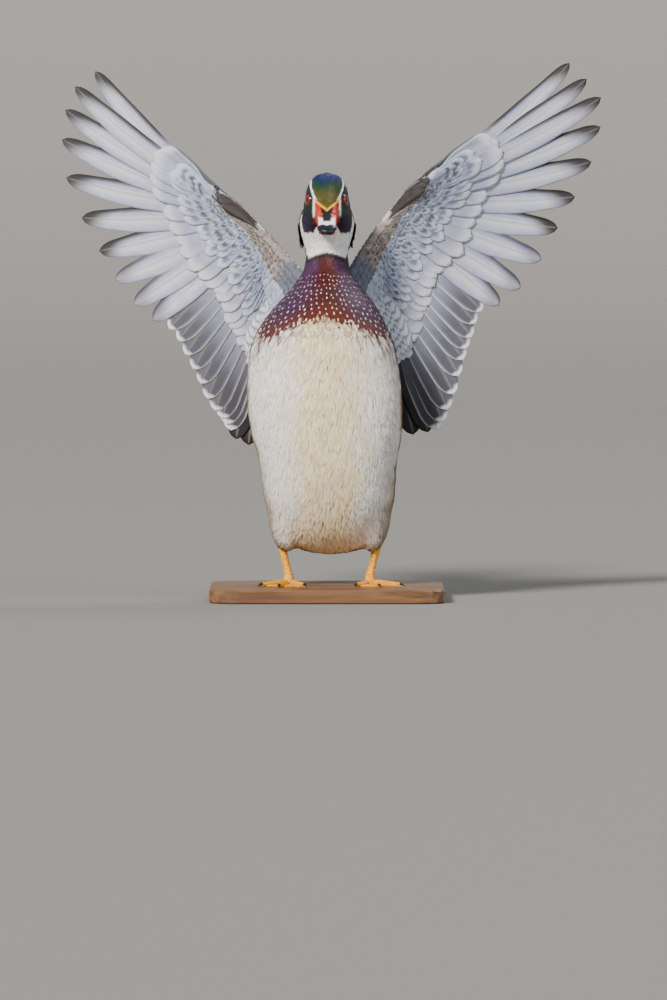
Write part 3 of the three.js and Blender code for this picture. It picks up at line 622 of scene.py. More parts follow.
def feather_material(name, count, slant, bump, roughness, sheen):
    """Vane keratin: its tone from the plumage, mottled a little, with barbs raised on it."""
    made, nodes, link, shader = material(name)
    mottle = mottled_plumage(nodes, link, shader, Scale=900, Detail=4, Dark=0.82, Pale=1.14)
    barbs = nodes.new("ShaderNodeGroup")
    barbs.node_tree = BARBS
    with_inputs(barbs, Count=count, Slant=slant)
    streak = sum_node(nodes, "MULTIPLY")
    streak.inputs[1].default_value = STREAK_DEPTH
    link(barbs.outputs["Height"], streak.inputs[0])
    link(streak.outputs[0], mottle.inputs["Streak"])
    raise_surface(nodes, link, shader, barbs.outputs["Height"], bump, BARB_RELIEF)
    with_inputs(
        shader, Roughness=roughness, Sheen_Weight=sheen, Sheen_Roughness=0.4, Specular_IOR_Level=0.3,
    )
    return made


soft_plumage = feather_material("soft_plumage", 60, 0.5, 0.5, 0.8, 0.2)
settled(skin, soft_plumage, "body_feathers", "torso", "neck", "head")

# The coat of head, neck and trunk: short soft feathers of keratin, each rooted in the skin and
# lying along the body over the ones below it, in seven pieces from the rump up to the face, with
# the white spots of the breast laid over its chestnut as small feathers of their own.
BILL_ROOT = np.array((0, -45, 318), float)


def lie(points):
    """The way a body feather lies, from the bill back over the head and down to the tail."""
    x, y, h = points[..., 0], points[..., 1], points[..., 2]
    from_bill = unit(points - BILL_ROOT) * smooth(5, -25, y)[..., None]
    head_way = from_bill + np.stack([
        0 * x, 1.1 * smooth(328, 346, h), -smooth(332, 300, h) - smooth(0, 25, y),
    ], -1)
    under = smooth(70, 30, h)
    parting = 0.12 * np.sign(x) * smooth(5, 30, np.abs(x))
    trunk_way = np.stack([parting, 0.2 + under, -1 + 0.6 * under], -1)
    tail_way = np.stack([0.25 * x / 20, 1 + 0 * x, -0.25 + 0 * x], -1)
    trunk_way = mixed(trunk_way, tail_way, smooth(46, 60, y) * smooth(96, 76, h))
    return mixed(trunk_way, head_way, smooth(280, 300, h))


def scatter(low, high, row_step, col_step, seed):
    """Roots over the body between two heights, in staggered rows with a little disorder."""
    rng = np.random.default_rng(seed)
    fine = np.linspace(low, high, 4000)
    girth = (half_width(fine) + (back(fine) - front(fine)) / 2) / 2
    run = np.concatenate([[0], np.cumsum(np.hypot(np.diff(girth), np.diff(fine)))])
    roots = []
    for row, at in enumerate(np.arange(0, run[-1], row_step)):
        height = np.interp(at, run, fine)
        radius = (half_width(height) + (back(height) - front(height)) / 2) / 2
        count = max(3, int(2 * math.pi * radius / col_step))
        turn = (np.arange(count) + 0.5 * (row % 2) + rng.uniform(-0.3, 0.3, count)) / count
        rise = rng.uniform(-0.3, 0.3, count) * row_step
        roots.append(trunk(np.clip(height + rise, low, high), turn * 2 * math.pi))
    return onto_body(np.concatenate(roots))


def coat_piece(name, roots, length, width, depth, seed, tone_of, rows=5, cols=5, point=0.35,
               tousle=0.12, finish=soft_plumage):
    """Tufts as small curved vanes that follow the body from their roots in the skin."""
    rng = np.random.default_rng(seed)
    count = len(roots)
    size = rng.uniform(0.85, 1.15, count)
    reach, wide = length * size, width * rng.uniform(0.85, 1.15, count)
    swing = rng.normal(0, tousle, count)
    raise_tip = rng.uniform(-0.35, 0.0, count)
    places = np.linspace(0, 1, rows)
    spread = np.linspace(-1, 1, cols)
    here = roots
    verts = np.zeros((count, rows, cols, 3))
    for k, t in enumerate(places):
        out = unit(uphill(here))
        way = lie(here)
        way = unit(way - out * (way * out).sum(-1, keepdims=True))
        side = np.cross(out, way)
        way = unit(way + side * swing[:, None])
        side = np.cross(out, way)
        rise = -depth * (1 - t) ** 1.4 + raise_tip * t
        breadth = wide / 2 * (0.45 + 0.55 * math.sin(math.pi * min(t * 1.25, 0.62)))
        if k == rows - 1:
            breadth = breadth * point
        for c, s in enumerate(spread):
            ragged = rng.uniform(-0.5, 0.5, count) * (t > 0.7) * reach / (rows - 1) * 0.55
            verts[:, k, c] = (
                here + side * (s * breadth)[:, None] + way * (ragged - abs(s) * t * wide * 0.12)[:, None]
                + out * (rise - 0.06 * width * s * s)[:, None]
            )
        here = onto_body(here + way * (reach / (rows - 1))[:, None])
    base = (np.arange(count) * rows * cols)[:, None, None]
    cell = base + (np.arange(rows - 1) * cols)[None, :, None] + np.arange(cols - 1)[None, None, :]
    quads = np.stack([cell, cell + 1, cell + cols + 1, cell + cols], -1).reshape(-1, 4)
    flat = verts.reshape(-1, 3)
    tones = tone_of(roots, verts, rng)
    place = bake_place(roots)[:, None, None, :]
    grid_t, grid_s = np.meshgrid(places, spread, indexing="ij")
    patch = np.stack([grid_s / 2, grid_t - 0.5], -1)[None] * 0.003
    bake = (place + patch).reshape(-1, 2)
    along = np.broadcast_to(np.stack([grid_s, grid_t], -1)[None], (count, rows, cols, 2)).reshape(-1, 2)
    made = mesh_object(name, flat, [quads], tones.reshape(-1, 3), bake, along)
    return settled(made, finish, "body_feathers")


def body_tones(roots, verts, rng):
    """Each tuft takes the marking at its middle, paler or darker by its own amount, with painted shade
    darkening it towards its root under the tufts above.
    """
    up_or_down = rng.normal(0, 1.9, (len(roots), 1)) * (0, 0, 1)
    stray = up_or_down + rng.normal(0, 1.2, (len(roots), 3)) * (1, 1, 0)
    middle = markings(verts[:, verts.shape[1] // 2, verts.shape[2] // 2] + stray)
    at_tip = markings(verts[:, -1, verts.shape[2] // 2] + stray)
    own = rng.uniform(0.8, 1.08, len(roots))[:, None]
    t = np.linspace(0, 1, verts.shape[1])[None, :, None, None]
    shaded = (middle * own)[:, None, None, :] * (1 - t) + (at_tip * own)[:, None, None, :] * t
    # Painted shade: each tuft is darker towards its root, where the tufts above lie over it.
    painted_root_shadow = 0.72 + 0.28 * smooth(0.0, 0.6, t)
    return np.broadcast_to(shaded * painted_root_shadow, verts.shape)


def head_tones(roots, verts, rng):
    """The small feathers of head and neck take the markings point by point."""
    own = rng.uniform(0.85, 1.12, len(roots))[:, None, None, None]
    return markings(verts) * own


# The rump's tufts are rooted evenly over the whole of its egg shape, and those inside the body
# are left out.
RUMP_TUFTS = 900
order = np.arange(RUMP_TUFTS)
level = 1 - 2 * (order + 0.5) / RUMP_TUFTS
swirl = order * math.pi * (3 - math.sqrt(5))
ball = np.stack([
    np.sqrt(1 - level**2) * np.cos(swirl), level, np.sqrt(1 - level**2) * np.sin(swirl),
], -1)
rump_roots = onto_body(RUMP_CENTRE + ball * RUMP_RADII)
rump_roots = rump_roots[rump_roots[:, 1] > back(rump_roots[:, 2]) - 3]
coat_piece("rump_coat", rump_roots, 15, 5.5, TRUNK_COAT, 10, body_tones, point=0.5)

# The trunk's long narrow tufts: heights, the steps between rows and along them, and lengths.
for name, low, high, steps, seeds, length in [
    ("vent_coat", VENT + 0.3, 92, (2.6, 2.5), (11, 12), 22),
    ("belly_coat", 92, 156, (2.4, 2.4), (12, 12), 24),
    ("flank_coat", 156, 226, (2.5, 2.5), (13, 14), 22),
]:
    coat_piece(
        name, scatter(low, high, *steps, seeds[0]), length, 2.9, TRUNK_COAT, seeds[1], body_tones,
        cols=3, point=0.12, tousle=0.13,
    )
coat_piece(
    "breast_coat", scatter(222, 262, 2.0, 2.2, 15), 10, 3.6, TRUNK_COAT * 0.9, 16, body_tones,
)

SPOT_ROWS = 13
SPOTS_FROM, SPOTS_RISE = 216, 50
SPOTS_REACH = math.radians(88)
SPOT_LENGTH, SPOT_WIDTH = 2.6, 1.15
rng_spots = np.random.default_rng(22)
spots, spot_sizes = [], []
for row in range(SPOT_ROWS):
    share = row / (SPOT_ROWS - 1)
    height = SPOTS_FROM + SPOTS_RISE * share**0.9
    pitch = 6.6 - 3.0 * share
    radius = float(half_width(height) + (back(height) - front(height)) / 2) / 2
    for k in range(int(2 * SPOTS_REACH * radius / pitch)):
        bearing = -SPOTS_REACH + (k + 0.5 * (row % 2) + rng_spots.uniform(-0.22, 0.22)) * pitch / radius
        fall = 20 * abs(bearing / SPOTS_REACH) ** 1.6 * (1 - 0.8 * share)
        spot_sizes.append(1.12 - 0.55 * share)
        spots.append(trunk(height - fall + rng_spots.uniform(-1.1, 1.1), bearing - math.pi / 2))
spots, spot_sizes = onto_body(np.array(spots)), np.array(spot_sizes)


def spot_tones(roots, verts, rng):
    """White spots, some of them a little stained by the chestnut."""
    shade = mixed(WHITE, tint("b98a70"), rng.uniform(0, 0.8, len(roots)))
    return np.broadcast_to(shade[:, None, None, :], verts.shape)


coat_piece(
    "breast_spots", spots, SPOT_LENGTH * spot_sizes, SPOT_WIDTH * spot_sizes, 0.3, 21, spot_tones,
    rows=4, cols=3, point=1.4,
)
head_plumage = feather_material("head_plumage", 40, 0.5, 0.4, 0.42, 0.1)
coat_piece(
    "neck_coat", scatter(260, 300, 1.8, 2.0, 17), 6.5, 3.6, HEAD_COAT * 1.3, 18, head_tones,
    finish=head_plumage,
)
coat_piece(
    "head_coat", scatter(298, CROWN - 0.1, 1.35, 1.5, 19), 4.4, 2.5, HEAD_COAT, 20, head_tones,
    rows=4, cols=4, finish=head_plumage,
)

# The wings: flesh of arm and hand wrapped in coverts, with the flight feathers rooted along its
# rear edge. Each is laid out from its joints and from where its feathers end. Feathers count
# from the outermost primary, 0, through the secondaries, 10 to 19, to the tertials, 20 to 23.
WINGS = {
    "right": {
        "side": -1,
        "front": [(103, 52, 343), (82, 46, 330), (60, 41, 311), (36, 38, 285), (12, 20, 258)],
        "rear": [(103, 52, 343), (81, 49, 318), (60, 46, 297), (50, 60, 236), (24, 36, 212)],
        "wrist": (59, 42, 307),
        "spread": profile([
            (0, 43.2), (3, 23.5), (6, -9.1), (9, -41.9), (12, -60.5), (14, -70), (17, -79.5),
            (20, -84), (23, -97),
        ]),
        "reach": profile([
            (0, 195), (1, 200), (3, 186.5), (6, 140), (9, 122.5), (10, 118), (13, 136),
            (16, 164), (19, 178), (21, 189), (23, 178),
        ]),
        "set": profile([(0, 88), (3, 84), (6, 60), (9, 34), (12, 24), (16, 18), (23, 14)]),
    },
    "left": {
        "side": 1,
        "front": [(97, 50, 357), (74, 45, 342), (54, 41, 321), (31, 38, 290), (12, 20, 258)],
        "rear": [(97, 50, 357), (74, 48, 330), (55, 46, 307), (45, 60, 244), (24, 36, 214)],
        "wrist": (54, 42, 316),
        "spread": profile([
            (0, 40.1), (3, 22.6), (6, -4.4), (9, -39.3), (12, -56), (14, -63), (17, -73.5),
            (20, -80), (23, -94),
        ]),
        "reach": profile([
            (0, 204), (2, 209.5), (3, 198), (6, 146), (9, 122.5), (10, 115), (12, 127),
            (14, 140), (17, 175), (19, 189), (21, 190), (23, 172),
        ]),
        "set": profile([(0, 68), (3, 66), (6, 50), (9, 30), (12, 22), (16, 17), (23, 14)]),
    },
}
FEATHERS = 24
PRIMARIES, DUSKY_PRIMARIES, FIRST_TERTIAL = 10, 7, 20
ROOT_RUN = 170
root_steps = profile([(-1.5, 0), (9.5, 57), (19.5, 128), (26, ROOT_RUN)])
vane_bend = profile([(0, 9), (6, 8), (12, 6), (23, 4)])
tip_sweep = profile([(0, 7), (5, 4), (10, 0), (23, -4)])
core_thickness = profile([(-1, 6), (2, 8), (10, 9), (18, 10.5), (26, 14)])
SMOOTHING = 2.5
SHINGLE = 0.9
FLATTEST_PITCH = 5.0
SHAFT_HALF = 0.07
DEPTH_STEPS = 40
TIP_THINNING = 0.6


def curve_through(points, samples=900):
    """Points evenly spaced along a centripetal curve through the given ones."""
    p = np.array(points, float)
    p = np.concatenate([[2 * p[0] - p[1]], p, [2 * p[-1] - p[-2]]])
    pieces = []
    for k in range(1, len(p) - 2):
        knots = [np.sqrt(np.linalg.norm(p[k + j] - p[k + j - 1])) for j in range(3)]
        a = (p[k] - p[k - 1]) / knots[0] - (p[k + 1] - p[k - 1]) / (knots[0] + knots[1])
        b = (p[k + 1] - p[k]) / knots[1] - (p[k + 2] - p[k]) / (knots[1] + knots[2])
        leave = (a + (p[k + 1] - p[k]) / knots[1]) * knots[1]
        reach = (b + (p[k + 2] - p[k + 1]) / knots[2]) * knots[1]
        t = np.linspace(0, 1, 200, endpoint=False)[:, None]
        rise = p[k + 1] - p[k]
        pieces.append(
            p[k] + leave * t + (3 * rise - 2 * leave - reach) * t**2
            + (leave + reach - 2 * rise) * t**3
        )
    line = np.concatenate([*pieces, p[-2:-1]])
    run = np.concatenate([[0], np.cumsum(np.linalg.norm(np.diff(line, axis=0), axis=1))])
    even = np.linspace(0, run[-1], samples)
    return np.stack([np.interp(even, run, line[:, k]) for k in range(3)], 1)


class WingSurface:
    """The middle surface of a spread wing: n counts feathers, t runs from root, 0, to tip, 1."""

    def __init__(self, plan):
        self.side = plan["side"]
        flip = np.array((self.side, 1, 1))
        self.plan = plan
        self.front = curve_through(np.array(plan["front"]) * flip)
        self.rear = curve_through(np.array(plan["rear"]) * flip)
        self.wrist = np.array(plan["wrist"]) * flip
        t = np.linspace(0, 1, DEPTH_STEPS + 1)
        gaps = []
        for between in np.arange(0.5, FEATHERS - 1):
            n = np.full(len(t), between)
            spaced = self.spacing(n, t, self.frame(n, t)[1])
            gaps.append(SHINGLE * np.maximum(0, 1 - spaced / np.maximum(spaced, FLATTEST_PITCH)))
        self.depths = np.concatenate([np.zeros((1, len(t))), np.cumsum(gaps, axis=0)])

    def on_line(self, line, n):
        at = np.clip(root_steps(n) / ROOT_RUN, 0, 1) * (len(line) - 1)
        k = np.minimum(at.astype(int), len(line) - 2)
        return line[k] + (line[k + 1] - line[k]) * (at - k)[..., None]

    def at(self, n, t):
        n, t = np.broadcast_arrays(np.asarray(n, float), np.asarray(t, float))
        a = self.on_line(self.rear, n)
        turn, reach = np.radians(self.plan["spread"](n)), self.plan["reach"](n)
        b = self.wrist + np.stack([
            self.side * reach * np.cos(turn), self.plan["set"](n), reach * np.sin(turn),
        ], -1)
        bow = np.where(t > 0, 4 * t * (1 - t), 0)
        away = unit(b - a)
        leading = np.stack([-self.side * away[..., 2], 0 * n, self.side * away[..., 0]], -1)
        return (
            a + (b - a) * t[..., None] - leading * (tip_sweep(n) * bow)[..., None]
            + np.stack([0 * n, vane_bend(n) * bow, 0 * n], -1)
        )

    def spacing(self, n, t, across):
        outer, inner = np.maximum(n - 0.5, 0), np.minimum(n + 0.5, FEATHERS - 1)
        gap = ((self.at(outer, t) - self.at(inner, t)) * across).sum(-1)
        return np.abs(gap) / (inner - outer)

    def frame(self, n, t):
        axis = unit(self.at(n, t + 0.02) - self.at(n, t - 0.02))
        span = (
            self.at(np.clip(n - SMOOTHING, 0, FEATHERS - 1), t)
            - self.at(np.clip(n + SMOOTHING, 0, FEATHERS - 1), t)
        )
        across = unit(span - axis * (span * axis).sum(-1, keepdims=True))
        normal = np.cross(axis, across)
        normal = normal * np.where(normal[..., 1:2] > 0, -1, 1)
        return axis, across, normal

    def sink(self, n, t):
        """How far feathers that crowd together lie behind their outer neighbours."""
        n, t = np.broadcast_arrays(np.asarray(n, float), np.asarray(t, float))
        row = np.clip(n, 0, FEATHERS - 1.001)
        col = np.clip(t, 0, 1) * DEPTH_STEPS
        r, c = row.astype(int), np.minimum(col.astype(int), DEPTH_STEPS - 1)
        u, v = row - r, col - c
        d = self.depths
        return (
            d[r, c] * (1 - u) * (1 - v) + d[r + 1, c] * u * (1 - v)
            + d[r, c + 1] * (1 - u) * v + d[r + 1, c + 1] * u * v
        )


def vane_ring(cols):
    """The way round a closed vane: across it from 1 to -1 and back, and its face, 1 or -1."""
    across = np.linspace(1, -1, cols)
    return np.concatenate([across, across[::-1]]), np.concatenate([np.ones(cols), -np.ones(cols)])


def vane_points(centre, side, out, half, across, rise):
    """Rows of points round a vane's centre line, by half its width and raised off it by rise."""
    side, out = np.atleast_2d(side)[:, None, :], np.atleast_2d(out)[:, None, :]
    return centre[:, None, :] + side * half[:, None, None] * across[None, :, None] + out * rise[..., None]


def shaft_ridge(across):
    """The raised line of a feather's shaft."""
    return np.exp(-((across / SHAFT_HALF) ** 2))


def wing_vane(surface, n, start, end, lift, width, outline, rows, cols, tone_of, thick=0.45,
              camber=0.5, shaft=0.0, tilt_share=1.0, only=0):
    """One feather of a wing as a thin closed vane: its points, colours and the map along it."""
    places = np.linspace(0, 1, rows)
    t = start + (end - start) * places
    axis, across, normal = surface.frame(np.full(rows, n), t)
    pitch = np.maximum(surface.spacing(np.full(rows, n), t, across), FLATTEST_PITCH)
    tilt = (np.arctan2(SHINGLE, pitch) * tilt_share)[:, None]
    leaned = across * np.cos(tilt) - normal * np.sin(tilt)
    up = normal * np.cos(tilt) + across * np.sin(tilt)
    height = lift - surface.sink(np.full(rows, n), t)
    centre = surface.at(np.full(rows, n), t) + normal * height[:, None]
    s_ring, face = vane_ring(cols)
    body = thick / 2 * (0.25 + 0.75 * (1 - s_ring**2)) + 0.35 * shaft_ridge(s_ring - shaft)
    body = body * (1 - TIP_THINNING * places[:, None])
    points = vane_points(
        centre, leaned, up, width / 2 * outline(places), s_ring, face * body - camber * s_ring**2,
    )
    grid_t, grid_s = np.meshgrid(places, s_ring, indexing="ij")
    faces = face if only == 0 else np.full(len(face), only)
    tones = tone_of(n, grid_t, grid_s, np.broadcast_to(faces > 0, grid_t.shape), points)
    return points, tones, np.stack([grid_s - shaft, grid_t], -1)


def join_vanes(name, vanes, finish, slot_name, *stands_for):
    """Joins closed vanes into one piece, its bake map a small patch for each vane."""
    verts, colours, alongs, bakes, all_faces, first = [], [], [], [], [[], []], 0
    per_row = math.ceil(math.sqrt(len(vanes)))
    for order, (points, tones, along) in enumerate(vanes):
        rows, cols = points.shape[:2]
        verts.append(tube_points(points))
        colours.append(with_ends(tones, tones[0, 0], tones[-1, 0]))
        alongs.append(with_ends(along, (0, 0), (0, 1)))
        corner = np.array((order % per_row, order // per_row)) / per_row
        bakes.append(corner + 0.9 / per_row * (alongs[-1] * (0.5, 1) + (0.5, 0)).clip(0, 1))
        for kind, faces in zip(all_faces, tube_faces(rows, cols)):
            kind.append(faces + first)
        first += rows * cols + 2
    faces = [np.concatenate(kind) for kind in all_faces]
    made = mesh_object(
        name, np.concatenate(verts), faces, np.concatenate(colours), np.concatenate(bakes),
        np.concatenate(alongs),
    )
    return settled(made, finish, slot_name, *stands_for)


SILVER, SILVER_WARM, DUSK = tint("8f9bc0"), tint("b0abb0"), tint("1f1714")
DARK_VANE, TERTIAL, PALE = tint("35333a"), tint("121014"), tint("e6e6ec")
SPECULUM, SPECULUM_PURPLE, UPPER_GREY = tint("1d3f7a"), tint("3c2a66"), tint("5b616b")


def flight_tone(n, t, s, under, points):
    """Flight feathers: silver grey below, dusky at tips and outer vanes, glossy blue above."""
    grain = 0.5 + 0.5 * ripple(points, 2.0 + n, 4.0)
    below = mixed(SILVER, SILVER_WARM, grain)
    above = mixed(UPPER_GREY, DUSK, 0.45 + 0.2 * grain)
    outer_edge = smooth(0.45, 0.8, s)
    if n < PRIMARIES:
        far_out = n < DUSKY_PRIMARIES
        pale_vane = smooth(-0.9, -0.1, s) * smooth(0.35, 0.1, s) * smooth(0.2, 0.6, t)
        dark_tip = smooth(0.78, 0.95, t + 0.05 * s) * (1 if far_out else 0.55)
        dark_edge = outer_edge * smooth(0.2, 0.5, t) * (1 if far_out else 0.8)
        below = painted(below, (PALE, 0.45 * pale_vane), (DUSK, 0.96 * dark_tip), (DUSK, 0.96 * dark_edge))
        blue_tip = smooth(0.7, 0.95, t) * smooth(0.2, -0.4, s)
        above = painted(above, (tint("9aa0ab"), 0.6 * outer_edge), (SPECULUM, 0.45 * blue_tip))
    elif n < FIRST_TERTIAL:
        inner = 0.25 + 0.65 * smooth(14, 18, np.array(float(n)))
        dark_vane = smooth(0.3, -0.15, s) * smooth(-0.96, -0.84, s) * inner
        dark_end = 0.85 * smooth(0.5, 0.85, t) * smooth(-0.96, -0.75, s)
        white_tip = np.maximum(smooth(0.955, 0.97, t + 0.015 * s), 0.75 * smooth(0.84, 0.92, -s))
        below = painted(below, (DARK_VANE, dark_vane), (DARK_VANE, dark_end), (PALE, white_tip))
        black_bar = smooth(0.86, 0.9, t) * smooth(0.955, 0.94, t)
        speculum = mixed(SPECULUM, SPECULUM_PURPLE, grain)
        above = painted(above, (speculum, smooth(-0.4, 0.1, s)), (BLACK, black_bar), (PALE, white_tip))
    else:
        below = mixed(TERTIAL, DUSK, 0.25 * grain)
        above = mixed(TERTIAL, SPECULUM, 0.3 * grain)
    shaft_line = np.exp(-((s / 0.05) ** 2))
    below = mixed(below, tint("8a8078"), 0.5 * shaft_line)
    return np.where(under[..., None], below, above)


def rounded(outline, blunt):
    """An outline whose last part closes in a round end."""
    def shape(t):
        end = np.clip((t - (1 - blunt)) / blunt, 0, 1)
        return outline(t) * np.sqrt(np.maximum(1 - end**2, 0.0004))
    return shape


primary_outline = rounded(profile([(0, 0.3), (0.3, 0.95), (0.6, 1.06), (0.86, 0.78), (1, 0.5)]), 0.09)
secondary_outline = rounded(profile([(0, 0.25), (0.3, 0.8), (0.6, 1), (0.84, 0.86), (1, 0.62)]), 0.13)
covert_outline = rounded(profile([(0, 0.35), (0.45, 1), (0.8, 1), (1, 0.9)]), 0.22)
feather_width = profile([(0, 16.5), (3, 19.5), (9, 23.5), (14, 24.5), (20, 26.5), (23, 24.5)])
covert_reach = profile([(0, 0.4), (5, 0.45), (9, 0.55), (14, 0.52), (20, 0.46), (23, 0.5)])
FLIGHT_ROWS, FLIGHT_COLS = 44, 13
COVERT_GRID = {1: (18, 9), -1: (12, 7)}
FINE_GRID = {1: (10, 7), -1: (8, 5)}
ARM_ROWS = {1: (0.94, 0.82, 0.7, 0.58, 0.47), -1: (0.92, 0.76, 0.6, 0.46)}
ARM_COVERTS = {1: 52, -1: 46}
EDGE_ROWS, EDGE_COVERTS = (0.34, 0.22, 0.1, 0.0), 64
TIER = 3.0
SPOT_PLACE = 0.8
ALULA_RUNS = [(12.6, 3.4), (12.2, 2.6), (11.8, 1.8)]
ALULA_ROWS, ALULA_WIDTH, FINE_COLS = 24, 8.8, 9
flight_vane = feather_material("flight_vane", 420, 0.12, 0.35, 0.55, 0.05)
covert_vane = feather_material("covert_vane", 120, 0.35, 0.35, 0.7, 0.15)


def spot_across(t, s, bend, half):
    """A dark mark across a covert, bent back towards its edges."""
    return np.exp(-(((t - SPOT_PLACE + bend * s * s) / half) ** 2))


def covert_tone(kind):
    """Coverts: silver with pale tips or dark crescents below, grey above, glossy on the greater."""
    def tone(n, t, s, under, points):
        grain = 0.5 + 0.5 * ripple(points, 7 + n, 3.5)
        off_shaft = np.abs(s)
        inner = smooth(9, 12, np.array(float(n)))
        above = mixed(UPPER_GREY, DUSK, 0.3 * grain)
        if kind == "greater":
            dark_vane = 0.4 * smooth(0.0, 0.6, s) * smooth(1, 0.8, s)
            pale_tip = 0.55 * smooth(0.78, 0.95, t + 0.06 * off_shaft)
            below = painted(SILVER, (SILVER_WARM, grain), (DARK_VANE, dark_vane), (PALE, pale_tip))
            speculum = mixed(SPECULUM, SPECULUM_PURPLE, grain)
            above = painted(above, (speculum, 0.55 * inner), (BLACK, 0.8 * smooth(0.86, 0.95, t) * inner))
        elif kind == "median":
            crescent = 0.8 * spot_across(t, s, 0.20, 0.055) * smooth(0.7, 0.3, off_shaft)
            pale_tip = 0.45 * smooth(0.7, 0.95, t)
            below = painted(SILVER, (tint("aab1c4"), grain), (PALE, pale_tip), (DUSK, crescent))
        elif kind == "lesser":
            crescent = 0.95 * spot_across(t, s, 0.22, 0.07) * smooth(0.75, 0.45, off_shaft)
            below = painted(tint("8d99b8"), (tint("c3cadb"), grain), (tint("2a1d14"), crescent))
        else:
            crescent = 0.9 * spot_across(t, s, 0.15, 0.09) * smooth(0.95, 0.6, off_shaft)
            below = painted(
                tint("80756f"), (tint("bfb6ae"), grain), (tint("35261b"), crescent),
                (tint("4a5a74"), 0.75 * smooth(17, 21, np.array(float(n)))),
            )
        return np.where(under[..., None], below, above)
    return tone


def arm_point(surface, n, v, face):
    """A point on the flesh of the wing: v runs from the leading edge, 0, to the rear line, 1."""
    lead, rear = surface.on_line(surface.front, n), surface.on_line(surface.rear, n)
    normal = surface.frame(np.clip(n, 0, 22), np.full(np.shape(n), 0.05))[2]
    crown = np.maximum(1 - np.abs(2 * v - 1) ** 3, 0) ** 0.5
    middle = lead + (rear - lead) * np.asarray(v)[..., None]
    return middle + normal * (face * core_thickness(n) / 2 * crown)[..., None], normal


CORE_STATIONS, CORE_FACE_POINTS = 60, 14
CORE_INSIDE = 0.8


def arm_core(surface, name):
    """The flesh between the leading edge and the roots of the flight feathers."""
    stations = np.linspace(-1.2, 25.5, CORE_STATIONS)
    over = np.linspace(0, 1, CORE_FACE_POINTS)
    round_v = np.concatenate([over, np.linspace(1, 0, CORE_FACE_POINTS)[1:-1]])
    faces = np.concatenate([np.ones(CORE_FACE_POINTS), -np.ones(CORE_FACE_POINTS - 2)])
    cols = len(faces)
    rings = np.stack([
        arm_point(surface, np.full(cols, n), round_v, faces * CORE_INSIDE)[0] for n in stations
    ])
    under = with_ends(np.tile(faces > 0, (CORE_STATIONS, 1))[..., None] * 1.0, [1.0], [0.0])[:, 0]
    tones = mixed(tint("3a3f47"), tint("cfc8bd"), under)
    bake = np.stack(np.meshgrid(np.linspace(0, 1, cols), np.linspace(0, 1, CORE_STATIONS)), -1)
    bake = with_ends(bake, (0, 0), (0, 0))
    return mesh_object(name, tube_points(rings), tube_faces(CORE_STATIONS, cols), tones, bake)


ARM_DEPTH = 40
COVERT_SINK = 0.4


def small_coverts(surface, face, rows_v, per_row, length, width, seed, tone_of, lift):
    """Rows of short coverts over the arm, each row lapping the one nearer the rear edge."""
    fine_rows, fine_cols = FINE_GRID[face]
    places = np.linspace(0, 1, fine_rows) ** 0.65
    ring_s, ring_face = vane_ring(fine_cols)
    grid_t, grid_s = np.meshgrid(places, ring_s, indexing="ij")
    seen_below = np.full(grid_t.shape, face > 0)
    rng = np.random.default_rng(seed)
    vanes = []
    for row, v in enumerate(rows_v):
        for even_n in np.linspace(-0.8, 25.4, per_row) + 0.5 * (row % 2):
            n = even_n + rng.uniform(-0.2, 0.2)
            here = np.array([n])
            root, normal = arm_point(surface, here, np.array([v]), face)
            axis = surface.frame(np.clip(here, 0, 23), np.array([0.06]))[0]
            lead = unit(surface.on_line(surface.rear, here) - surface.on_line(surface.front, here))
            way = unit(0.65 * axis + 0.6 * lead)
            out = normal * face
            side = unit(np.cross(out, way))
            way = unit(way - out * (way * out).sum(-1, keepdims=True))
            size = rng.uniform(0.85, 1.15)
            drop = np.clip(v + length * size * places / ARM_DEPTH, 0, 1)
            settle = arm_point(surface, np.full(fine_rows, n), drop, face)[0]
            flat = root + way * (places * length * size)[:, None]
            height = ((settle - flat) * out).sum(-1) + lift * places - COVERT_SINK
            points = vane_points(
                flat + out * height[:, None], side, out, width * size / 2 * covert_outline(places),
                ring_s, 0.12 * ring_face - 0.08 * width * ring_s**2,
            )
            tones = tone_of(n, grid_t, grid_s, seen_below, points) * rng.uniform(0.85, 1.1)
            vanes.append((points, tones, np.stack([grid_s, grid_t], -1)))
    return vanes


def axillar_tone(n, t, s, under, points):
    """The pale feathers of the wing pit, crossed by faint dark bars."""
    bars = np.sin((t + 0.1 * s * s) * 52) > 0.45
    tone = np.broadcast_to(np.array(tint("ccd2e0")), (*t.shape, 3))
    return mixed(tone, tint("5a534e"), 0.75 * bars * smooth(0.1, 0.3, t))


